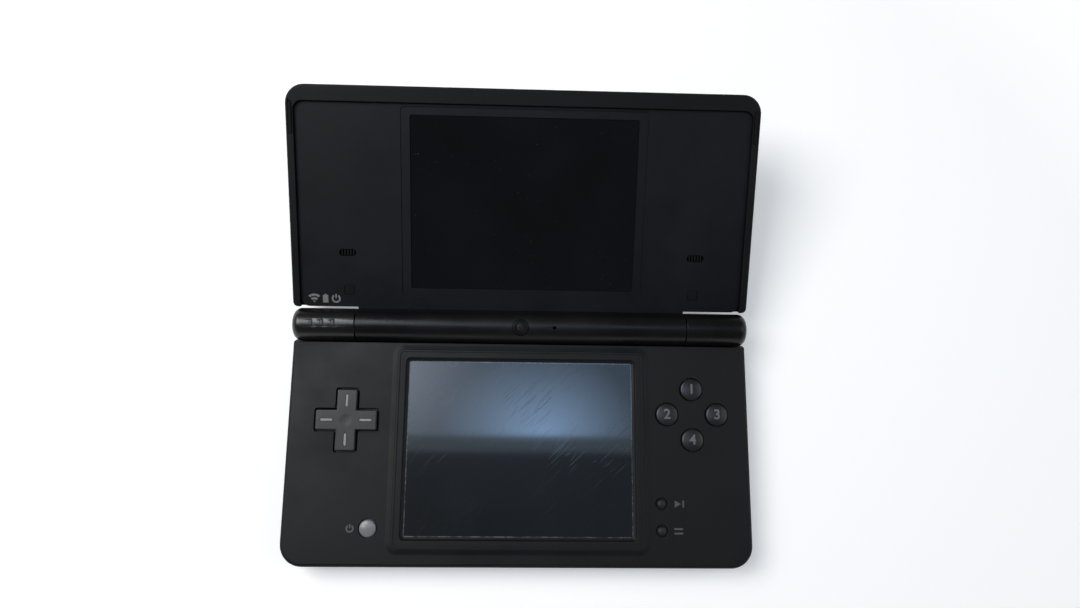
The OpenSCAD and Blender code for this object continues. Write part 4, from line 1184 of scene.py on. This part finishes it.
@dataclass
class Controls:
    """Direction pad, keys, shoulder buttons and volume keys, with their marks; the direction pad's pale
    marks are painted highlights.
    """

    pad_at: Point2 = (-51.2, 4.15)
    keys_at: Point2 = (51.3, 6.75)
    ring: float = 7.49
    key_top: float = 11.5
    key_r: float = 3.25
    crown: float = 0.35
    pad_top: float = 11.4
    pad_round: float = 0.42
    pad_dish_r: float = 2.0
    pad_arm_end: float = 8.4
    pad_groove_round: float = 0.06
    pad_groove_depth: float = 0.3
    pad_mark: Point3 = (3.6, 0.74, 0.24)
    pad_mark_round: float = 0.1
    pad_mark_rise: float = 0.03
    pad_mark_from_centre: float = 5.7
    key_round: float = 0.3
    mark_size: float = 4.1
    keys: tuple[tuple[str, Body, float, str], ...] = (
        ("top_face_button", Body.TOP_KEY, 90, "1"),
        ("left_face_button", Body.LEFT_KEY, 180, "2"),
        ("right_face_button", Body.RIGHT_KEY, 0, "3"),
        ("bottom_face_button", Body.BOTTOM_KEY, 270, "4"),
    )
    plain: tuple[Stand, ...] = (
        Stand("start_button", Finish.SMALL_KEY, Body.START_KEY, "key_plastic", 0.3, 3),
        Stand("select_button", Finish.SMALL_KEY, Body.SELECT_KEY, "key_plastic", 0.3, 3),
        Stand("power_button", Finish.POWER_KEY, Body.POWER_KEY, "power_key_plastic", 0.36, 4),
        Stand("left_shoulder_button", Finish.KEY, Body.LEFT_SHOULDER, "key_plastic", 0.15),
        Stand("right_shoulder_button", Finish.KEY, Body.RIGHT_SHOULDER, "key_plastic", 0.15),
        Stand("volume_up_button", Finish.KEY, Body.VOLUME_UP, "key_plastic", 0.12),
        Stand("volume_down_button", Finish.KEY, Body.VOLUME_DOWN, "key_plastic", 0.12),
        Stand("stylus", Finish.KEY, Body.STYLUS, "key_plastic", 0.1),
    )

    def dome(self, x: float, y: float) -> Callable[[float, float], Point3]:
        """Surface of a face key's dome.

        Args:
            x: The key's centre.
            y: The key's centre.

        Returns:
            A function from a sign's point to its place on the dome.
        """
        ball = (self.key_r**2 + self.crown**2) / (2 * self.crown)

        def place(u: float, v: float) -> Point3:
            """Place of a sign's point on this key's dome."""
            drop = ball - math.sqrt(ball * ball - u * u - v * v)
            return (x + u, y + v, self.key_top - drop)

        return place

    def pad_mesh(self, frame: Frame) -> bpy.types.Mesh:
        """The direction pad with its shoulders rounded more than its grooves.

        Args:
            frame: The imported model.

        Returns:
            The mesh, in place.
        """

        def shoulder(middle: Vector) -> bool:
            """Whether an edge is on the pad's top, away from its dish and grooves.

            Args:
                middle: The edge's middle in millimetres.

            Returns:
                Whether the edge gets the broad round.
            """
            x, y = abs(middle.x - self.pad_at[0]), abs(middle.y - self.pad_at[1])
            on_top = middle.z > self.pad_top - 0.01
            return on_top and (min(x, y) > self.pad_dish_r or max(x, y) > self.pad_arm_end)

        def groove(middle: Vector) -> bool:
            """Whether an edge is on the pad's top or in its grooves."""
            return middle.z > self.pad_top - self.pad_groove_depth

        bm = merged(frame, "dpad")
        break_edges(bm, self.pad_round, 4, shoulder)
        break_edges(bm, self.pad_groove_round, 2, groove)
        return kept(bm, "direction_pad")

    def pad_marks(self) -> None:
        """Set the four raised marks in the direction pad's grooves, coloured pale as a painted highlight for
        the light that the grooves catch.
        """
        bar = capsule_bar(*self.pad_mark, edge=self.pad_mark_round)
        bmesh.ops.translate(bar, vec=(self.pad_mark_from_centre, 0, 0), verts=bar.verts)
        spot = (*self.pad_at, self.pad_top - self.pad_mark[2] + self.pad_mark_rise)
        mesh = Repeat(Finish.PAD_INK).mesh("direction_marks", bar, [spot] * 4, 90.0)
        new_piece("direction_marks", mesh, Finish.PAD_INK, Body.DIRECTION_PAD, "key_plastic")

    def build(self, frame: Frame) -> None:
        """Build the keys and their marks."""
        for stand in self.plain:
            stand.build(frame)
        pad = new_piece("direction_pad", self.pad_mesh(frame), Finish.KEY, Body.DIRECTION_PAD, "key_plastic")
        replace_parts(pad, "dpad")
        self.pad_marks()
        for node, body, angle, mark in self.keys:
            Stand(node, Finish.KEYCAP, body, "key_plastic", self.key_round, 3).build(frame)
            a = math.radians(angle)
            x = self.keys_at[0] + self.ring * math.cos(a)
            y = self.keys_at[1] + self.ring * math.sin(a)
            sign = Sign().letter(mark, self.mark_size)
            sign.lay("mark_" + node, Finish.KEY_INK, body, self.dome(x, y))


@dataclass
class Hinge:
    """Barrel of the lid between the base's two barrel ends, with the indicator windows."""

    stands: tuple[Stand, ...] = (
        Stand("lid_hinge_barrel", Finish.BARREL, Body.LID, "shell_plastic", 0.06),
        Stand("left_hinge_housing", Finish.HOUSING, Body.BASE, "shell_plastic", 0.06),
        Stand("right_hinge_housing", Finish.BARREL, Body.BASE, "shell_plastic", 0.06),
        Stand("indicator_lenses", Finish.SMOKED_LENS, Body.BASE, "light_guide", 0.03),
        Stand("inner_camera", Finish.CAMERA_DISC, Body.LID, "lens_glass", 0.05),
    )
    lens_x: float = -0.3
    lens: Point3 = (1.35, 0.2, 0.4)
    lens_out: float = 4.42
    tilt: float = 11.0

    def glass(self, frame: Frame) -> None:
        """Set the camera's glass in its cone."""
        dome = lens_dome(*self.lens)
        axis = Matrix.Translation((self.lens_x, frame.hinge_y, frame.hinge_z))
        tilt = Matrix.Rotation(math.radians(self.tilt), 4, "X")
        bmesh.ops.translate(dome, vec=(0, 0, self.lens_out), verts=dome.verts)
        bmesh.ops.transform(dome, matrix=axis @ tilt, verts=dome.verts)
        new_piece("inner_lens", mesh_from(dome, "inner_lens"), Finish.CAMERA_GLASS, Body.LID, "lens_glass")

    def build(self, frame: Frame) -> None:
        """Build the barrel and its ends."""
        for stand in self.stands:
            stand.build(frame)
        self.glass(frame)


@dataclass
class LidHalf:
    """Lid shell, inner bezel, window, slots, plugs and bumpers."""

    stands: tuple[Stand, ...] = (
        Stand("lid_outer_shell", Finish.LID_SHELL, Body.LID, "shell_plastic", 0.16),
        Stand("lid_inner_bezel", Finish.LID_FACE, Body.LID, "face_plastic", 0.05),
        Stand("upper_screen_window", Finish.WINDOW, Body.LID, "window_glass", 0.04, 1),
        Stand("lid_screw_plugs", Finish.PLUG, Body.LID, "rubber", 0.1),
        Stand("lid_bumpers", Finish.PLUG, Body.LID, "rubber", 0.12),
        Stand("outer_camera_ring", Finish.RING, Body.LID, "steel", 0.06),
    )
    slot_at: Point2 = (52.1, 21.7)
    bars: int = 5
    bar_pitch: float = 0.86
    bar_size: Point3 = (2.3, 0.34, 0.5)
    bar_round: float = 0.1
    bar_depth: float = 2.1
    lens: Point3 = (1.7, 0.3, 0.3)
    lens_steps: int = 40
    lens_at: Point3 = (50.0, 15.0, 7.66)

    def grille(self, frame: Frame) -> None:
        """Set the bars in both speaker slots."""
        bar = capsule_bar(*self.bar_size, edge=self.bar_round, steps=4)
        upright = Matrix.Rotation(math.pi / 2, 3, "Z") @ Matrix.Rotation(math.pi, 3, "X")
        bmesh.ops.rotate(bar, matrix=upright, verts=bar.verts)
        x, v = self.slot_at
        steps = [(i - (self.bars - 1) / 2) * self.bar_pitch for i in range(self.bars)]
        spots = [(side * x + step, -v, self.bar_depth) for side in (-1, 1) for step in steps]
        mesh = Repeat(Finish.FACE).mesh("speaker_bars", bar, spots, place=frame.on_lid())
        new_piece("speaker_bars", mesh, Finish.FACE, Body.LID, "face_plastic")

    def glass(self, frame: Frame) -> None:
        """Set the outer camera's glass in its ring."""
        dome = lens_dome(*self.lens, self.lens_steps)
        x, v, z = self.lens_at
        bmesh.ops.translate(dome, vec=(x, -v, z), verts=dome.verts)
        mesh = mesh_from(dome, "outer_lens")
        mesh.transform(frame.on_lid())
        new_piece("outer_lens", mesh, Finish.LENS, Body.LID, "lens_glass")

    def build(self, frame: Frame) -> None:
        """Build the lid's shells and small parts."""
        for stand in self.stands:
            stand.build(frame)
        self.grille(frame)
        self.glass(frame)


@dataclass
class Signs:
    """Generic printed signs on the face and on the lid."""

    lid_row: float = 7.75
    bezel_z: float = 1.3
    signal_x: float = -62.4
    battery_x: float = -59.05
    lid_power_x: float = -55.9
    power_at: Point2 = (-48.6, -26.7)
    start_at: Point2 = (46.6, -19.25)
    select_at: Point2 = (46.6, -26.95)
    waves: tuple[Point2, ...] = ((0.0, 0.55), (0.95, 1.6), (2.0, 2.7))
    wave_spread: Point3 = (45.0, 42.0, 40.0)

    def on_face(self, frame: Frame, at: Point2) -> Callable[[float, float], Point3]:
        """Places of a sign on the base's face, round a centre."""
        return lambda u, v: (at[0] + u, at[1] + v, frame.face_z)

    def on_bezel(self, frame: Frame, x: float) -> Callable[[float, float], Point3]:
        """Surface of the lid's inner bezel, in the row of signs above the hinge.

        Args:
            frame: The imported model.
            x: The sign's centre along the row.

        Returns:
            A function from a sign's point to its place on the bezel.
        """
        turn = frame.on_lid()

        def place(u: float, v: float) -> Point3:
            """Place of a sign's point on the bezel, with the lid open as at rest."""
            spot = turn @ Vector(((x + u) * MM, -(self.lid_row + v) * MM, self.bezel_z * MM))
            return tuple(c / MM for c in spot)

        return place

    def signal(self) -> Sign:
        """A dot with two waves over it.

        Returns:
            The sign.
        """
        sign = Sign()
        for radii, spread in zip(self.waves, self.wave_spread):
            sign.band(-1.3, radii, (90 - spread, 90 + spread), 8 if radii[0] == 0 else 24)
        return sign

    def battery(self) -> Sign:
        """An upright cell with its cap.

        Returns:
            The sign.
        """
        cell, cap, foot, shoulder, top = 0.8, 0.35, -1.3, 1.0, 1.35
        right = [(cell, foot), (cell, shoulder), (cap, shoulder), (cap, top)]
        left = [(-x, y) for x, y in reversed(right)]
        return Sign().outline(left[-1:] + right + left[:-1])

    def power(self, r: float) -> Sign:
        """A ring with a gap at its top and a bar through the gap."""
        return Sign().band(0, (r * 0.62, r), (125, 415)).bar(0, r * 0.55, r * 0.34, r * 0.95)

    def start(self) -> Sign:
        """A triangle and a bar."""
        return Sign().outline([(-1.0, -1.0), (0.8, 0.0), (-1.0, 1.0)]).bar(1.5, 0, 0.45, 2.0)

    def select(self) -> Sign:
        """Two level bars."""
        return Sign().bar(0, 0.62, 2.6, 0.5).bar(0, -0.62, 2.6, 0.5)

    def build(self, frame: Frame) -> None:
        """Print the signs."""
        for name, sign, x in (
            ("sign_signal", self.signal(), self.signal_x),
            ("sign_battery", self.battery(), self.battery_x),
            ("sign_power_lid", self.power(1.35), self.lid_power_x),
        ):
            sign.lay(name, Finish.INK, Body.LID, self.on_bezel(frame, x))
        for name, sign, at in (
            ("sign_power", self.power(1.15), self.power_at),
            ("sign_start", self.start(), self.start_at),
            ("sign_select", self.select(), self.select_at),
        ):
            sign.lay(name, Finish.DIM_INK, Body.BASE, self.on_face(frame, at))


@dataclass
class Fasteners:
    """Cross-recessed screws of the underside and the battery cover."""

    head_r: float = 1.5
    head_h: float = 1.0
    shank_r: float = 0.8
    edge_r: float = 0.3
    tip_h: float = 0.4
    recess: Point3 = (0.92, 0.17, 0.5)
    recess_taper: float = 0.7
    steps: int = 32

    def profile(self, length: float) -> list[Point2]:
        """Outline of a screw from the rim of its head to its tip.

        Args:
            length: Whole length of the screw.

        Returns:
            Its radius and height at each step.
        """
        soft = 0.3 * self.edge_r
        return [
            (self.head_r - self.edge_r, 0),
            (self.head_r - soft, soft),
            (self.head_r, self.edge_r),
            (self.head_r, self.head_h),
            (self.shank_r, self.head_h),
            (self.shank_r, length - self.tip_h),
            (self.shank_r * 0.5, length),
        ]

    def template(self, length: float) -> bmesh.types.BMesh:
        """One screw with its head downwards and the head's end at the origin.

        Args:
            length: Whole length of the screw.

        Returns:
            The closed shape in millimetres.
        """
        reach, half, deep = self.recess
        bm = bmesh.new()
        corner = [Vector(p) for p in ((reach, half), (half, half), (half, reach))]
        plan = [Matrix.Rotation(math.radians(90 * i), 2) @ p for i in range(4) for p in corner]
        turn = [2 * math.pi * i / self.steps for i in range(self.steps)]
        rings = [
            [bm.verts.new((r * math.cos(a), r * math.sin(a), z)) for a in turn]
            for r, z in self.profile(length)
        ]
        rim = [bm.verts.new((p.x, p.y, 0)) for p in plan]
        foot = [bm.verts.new((*(self.recess_taper * p), deep)) for p in plan]
        for a, b in [*zip(rings, rings[1:]), (rim, foot)]:
            for i in range(len(a)):
                j = (i + 1) % len(a)
                bm.faces.new((a[i], a[j], b[j], b[i]))
        bm.faces.new(rings[-1])
        bm.faces.new(foot)
        edges = [e for e in bm.edges if len(e.link_faces) == 1]
        bmesh.ops.triangle_fill(bm, edges=edges, use_beauty=True)
        return bm

    def build(self, frame: Frame) -> None:
        """Set the screws where the CAD nodes have them."""
        for node in ("case_screws", "battery_cover_screws"):
            boxes = islands(frame, node)
            spots = [((low.x + high.x) / 2, (low.y + high.y) / 2, low.z) for low, high in boxes]
            low, high = boxes[0]
            mesh = Repeat(Finish.SCREW).mesh(node + "_set", self.template(high.z - low.z), spots, 23.0)
            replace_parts(new_piece(node + "_set", mesh, Finish.SCREW, Body.BASE, "dark_screw_steel"), node)


@dataclass
class Inside:
    """CAD nodes that stay as they are, each with its finish."""

    finishes: dict[str, Finish] = field(
        default_factory=lambda: {
            "lid_screws": Finish.SCREW,
            "battery_pack": Finish.BATTERY,
            "rubber_feet": Finish.RUBBER,
            "main_board": Finish.BOARD,
            "processor_shield": Finish.STEEL,
            "game_card_reader": Finish.STEEL,
            "memory_card_socket": Finish.STEEL,
            "wireless_module": Finish.BOARD,
            "headphone_jack": Finish.INNER,
            "power_socket": Finish.INNER,
            "lower_display": Finish.DISPLAY,
            "upper_display": Finish.DISPLAY,
            "dpad_membrane": Finish.MEMBRANE,
            "face_button_membrane": Finish.MEMBRANE,
            "dpad_pivot": Finish.MEMBRANE,
            "tactile_switches": Finish.STEEL,
            "hinge_bush": Finish.STEEL,
            "shoulder_pins": Finish.STEEL,
            "shoulder_springs": Finish.STEEL,
            "outer_camera": Finish.LENS,
            "outer_camera_lamp": Finish.LAMP,
            "speakers": Finish.RECESS,
            "microphone": Finish.RECESS,
            "lid_magnet": Finish.STEEL,
            "hinge_clutch": Finish.STEEL,
            "display_flex_cable": Finish.RIBBON,
        }
    )

    def build(self, frame: Frame) -> None:
        """Dress the nodes."""
        for node, finish in self.finishes.items():
            dress_node(frame, node, finish)


# ---------------------------------------------------------------- studio


@dataclass(frozen=True)
class Lamp:
    """A soft rectangular lamp that looks at a point."""

    name: str
    place: Point3
    aim: Point3
    size: Point2
    watts: float
    colour: Colour = (1.0, 1.0, 1.0)

    def build(self) -> bpy.types.Light:
        """Add the lamp, with its places in millimetres.

        Returns:
            Its light data.
        """
        data = bpy.data.lights.new(self.name, "AREA")
        data.shape, data.size, data.size_y = "RECTANGLE", self.size[0] * MM, self.size[1] * MM
        data.energy, data.color = self.watts, self.colour
        lamp = bpy.data.objects.new(self.name, data)
        bpy.context.scene.collection.objects.link(lamp)
        lamp.location = Vector(self.place) * MM
        lamp.rotation_mode = "QUATERNION"
        lamp.rotation_quaternion = (Vector(self.aim) - Vector(self.place)).to_track_quat("-Z", "Y")
        return data


@dataclass(frozen=True)
class WindowPane(Lamp):
    """A lamp whose light swells towards one spot, as daylight through a window does."""

    spot: Point2 = (0.5, 0.0)
    reach: Point2 = (0.5, 1.0)
    rest: float = 0.3
    peak_colour: Colour = (1.0, 1.0, 1.0)

    def build(self) -> bpy.types.Light:
        """Add the lamp and the swell.

        Returns:
            Its light data.
        """
        data = super().build()
        data.use_nodes = True
        tree = data.node_tree
        add, link = tree.nodes.new, tree.links.new
        where, offset, share, away = (
            add(kind) for kind in ("ShaderNodeNewGeometry",) + ("ShaderNodeVectorMath",) * 3
        )
        offset.operation, share.operation, away.operation = "SUBTRACT", "MULTIPLY", "LENGTH"
        offset.inputs[1].default_value = (*self.spot, 0.0)
        share.inputs[1].default_value = (1 / self.reach[0], 1 / self.reach[1], 0.0)
        fall, level, tint = (add(kind) for kind in ("ShaderNodeMapRange", "ShaderNodeMath", "ShaderNodeMix"))
        level.operation, tint.data_type = "MULTIPLY", "RGBA"
        fall.inputs["To Min"].default_value, fall.inputs["To Max"].default_value = 1.0, math.sqrt(self.rest)
        tint.inputs["A"].default_value = (*self.colour, 1.0)
        tint.inputs["B"].default_value = (*self.peak_colour, 1.0)
        link(where.outputs["Parametric"], offset.inputs[0])
        link(offset.outputs[0], share.inputs[0])
        link(share.outputs[0], away.inputs[0])
        link(away.outputs["Value"], fall.inputs["Value"])
        link(fall.outputs[0], level.inputs[0])
        link(fall.outputs[0], level.inputs[1])
        link(level.outputs[0], tree.nodes["Emission"].inputs["Strength"])
        link(level.outputs[0], tint.inputs["Factor"])
        link(tint.outputs["Result"], tree.nodes["Emission"].inputs["Color"])
        data.color = (1.0, 1.0, 1.0)
        return data


@dataclass
class Studio:
    """White floor, grey world, soft lamps and the photograph's camera."""

    camera_at: Point3 = (-2.66, -5.2, 241.73)
    camera_turn: Point3 = (0.1922, -0.0362, 0.0125)
    focal_px: float = 770.0
    image_px: int = 1080
    sensor_mm: float = 36.0
    clip_m: Point2 = (0.005, 20.0)
    floor_half_m: float = 4.0
    floor_drop_m: float = 0.00005
    lift_from_m: Point2 = (0.2, 0.6)
    lift: Point2 = (0.3, 1.0)
    world_light: float = 0.14
    white_below: Point2 = (0.1, 0.4)
    lamps: tuple[Lamp, ...] = (
        Lamp("key", (-360, 175, 570), (-20, 25, 10), (380, 380), 3.5, (1.0, 0.99, 0.975)),
        Lamp("fill", (500, 60, 460), (10, 20, 10), (380, 380), 0.75, (0.94, 0.97, 1.0)),
        WindowPane(
            "window_pane", (7, 78, 620), (7, 78, 10), (317, 129), 1.52, (0.48, 0.7, 1.0),
            spot=(0.57, -0.04), reach=(0.36, 0.8), rest=0.12, peak_colour=(0.38, 0.62, 1.0),
        ),
        WindowPane(
            "left_pane", (-85, 78, 622), (-85, 78, 10), (196, 129), 0.34, (0.78, 0.87, 1.0),
            spot=(0.2, 0.6), reach=(0.95, 1.6), rest=0.0, peak_colour=(0.78, 0.87, 1.0),
        ),
        Lamp("low_pane", (22, 5, 621), (22, 5, 10), (314, 17), 0.016, (0.62, 0.84, 1.0)),
    )

    def camera(self) -> None:
        """Add the camera at the photograph's view."""
        data = bpy.data.cameras.new("photo_view")
        data.sensor_width = self.sensor_mm
        data.lens = self.focal_px / self.image_px * data.sensor_width
        data.clip_start, data.clip_end = self.clip_m
        camera = bpy.data.objects.new("photo_view", data)
        bpy.context.scene.collection.objects.link(camera)
        camera.location = Vector(self.camera_at) * MM
        turn = Vector(self.camera_turn)
        camera.rotation_mode = "QUATERNION"
        camera.rotation_quaternion = Quaternion(turn.normalized(), turn.length)
        bpy.context.scene.camera = camera

    def floor(self) -> None:
        """Add the white floor, which keeps the shadow."""
        bm = bmesh.new()
        bmesh.ops.create_grid(bm, x_segments=1, y_segments=1, size=self.floor_half_m)
        mesh = bpy.data.meshes.new("floor")
        bm.to_mesh(mesh)
        bm.free()
        floor = bpy.data.objects.new("floor", mesh)
        bpy.context.scene.collection.objects.link(floor)
        floor.location.z = -self.floor_drop_m
        g = Graph("white_floor")
        g.set(Base_Color=(0.86, 0.86, 0.86), Roughness=0.9, Specular_IOR_Level=0.1)
        away = g.add("VectorMath", operation="LENGTH")
        g.link(g.place(), away.inputs[0])
        g.set(Emission_Color=(1.0, 1.0, 1.0))
        lift = g.remap(away.outputs["Value"], *self.lift_from_m, *self.lift)
        g.to("Emission Strength", g.times(self.seen(g.tree), lift))
        mesh.materials.append(g.material)

    def seen(self, tree: bpy.types.NodeTree) -> bpy.types.NodeSocket:
        """One where the camera, a gloss or a clear part looks, else zero.

        Args:
            tree: The tree that gets the nodes.

        Returns:
            The factor socket.
        """
        path = tree.nodes.new("ShaderNodeLightPath")
        first, second = (tree.nodes.new("ShaderNodeMath") for _ in range(2))
        first.operation = second.operation = "MAXIMUM"
        tree.links.new(path.outputs["Is Camera Ray"], first.inputs[0])
        tree.links.new(path.outputs["Is Glossy Ray"], first.inputs[1])
        tree.links.new(first.outputs[0], second.inputs[0])
        tree.links.new(path.outputs["Is Transmission Ray"], second.inputs[1])
        return second.outputs[0]

    def world(self) -> None:
        """Set a dim world whose horizon is white where it is seen."""
        world = bpy.data.worlds.new("studio")
        world.use_nodes = True
        tree = world.node_tree
        back = tree.nodes["Background"]
        coord, split = tree.nodes.new("ShaderNodeTexCoord"), tree.nodes.new("ShaderNodeSeparateXYZ")
        band, level = (tree.nodes.new("ShaderNodeMapRange") for _ in range(2))
        share = tree.nodes.new("ShaderNodeMath")
        band.interpolation_type, share.operation = "SMOOTHSTEP", "MULTIPLY"
        band.inputs["From Min"].default_value, band.inputs["From Max"].default_value = self.white_below
        band.inputs["To Min"].default_value, band.inputs["To Max"].default_value = 1.0, 0.0
        level.inputs["To Min"].default_value, level.inputs["To Max"].default_value = self.world_light, 1.0
        tree.links.new(coord.outputs["Generated"], split.inputs[0])
        tree.links.new(split.outputs["Z"], band.inputs["Value"])
        tree.links.new(band.outputs[0], share.inputs[0])
        tree.links.new(self.seen(tree), share.inputs[1])
        tree.links.new(share.outputs[0], level.inputs["Value"])
        tree.links.new(level.outputs[0], back.inputs["Strength"])
        back.inputs["Color"].default_value = (1.0, 1.0, 1.0, 1.0)
        bpy.context.scene.world = world

    def build(self) -> None:
        """Set up the studio."""
        self.camera()
        self.floor()
        self.world()
        for lamp in self.lamps:
            lamp.build()
        bpy.context.scene.view_settings.view_transform = "Standard"


def main() -> None:
    """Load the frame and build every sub-assembly in turn."""
    logging.basicConfig(level=logging.INFO, format="%(message)s")
    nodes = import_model()["nodes"]
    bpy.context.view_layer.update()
    frame = Frame(nodes)
    Studio().build()
    for part in (BaseHalf(), TouchScreen(), Controls(), Hinge(), LidHalf(), Signs(), Fasteners(), Inside()):
        LOG.info("-- %s", type(part).__name__)
        part.build(frame)


if __name__ == "__main__":
    main()
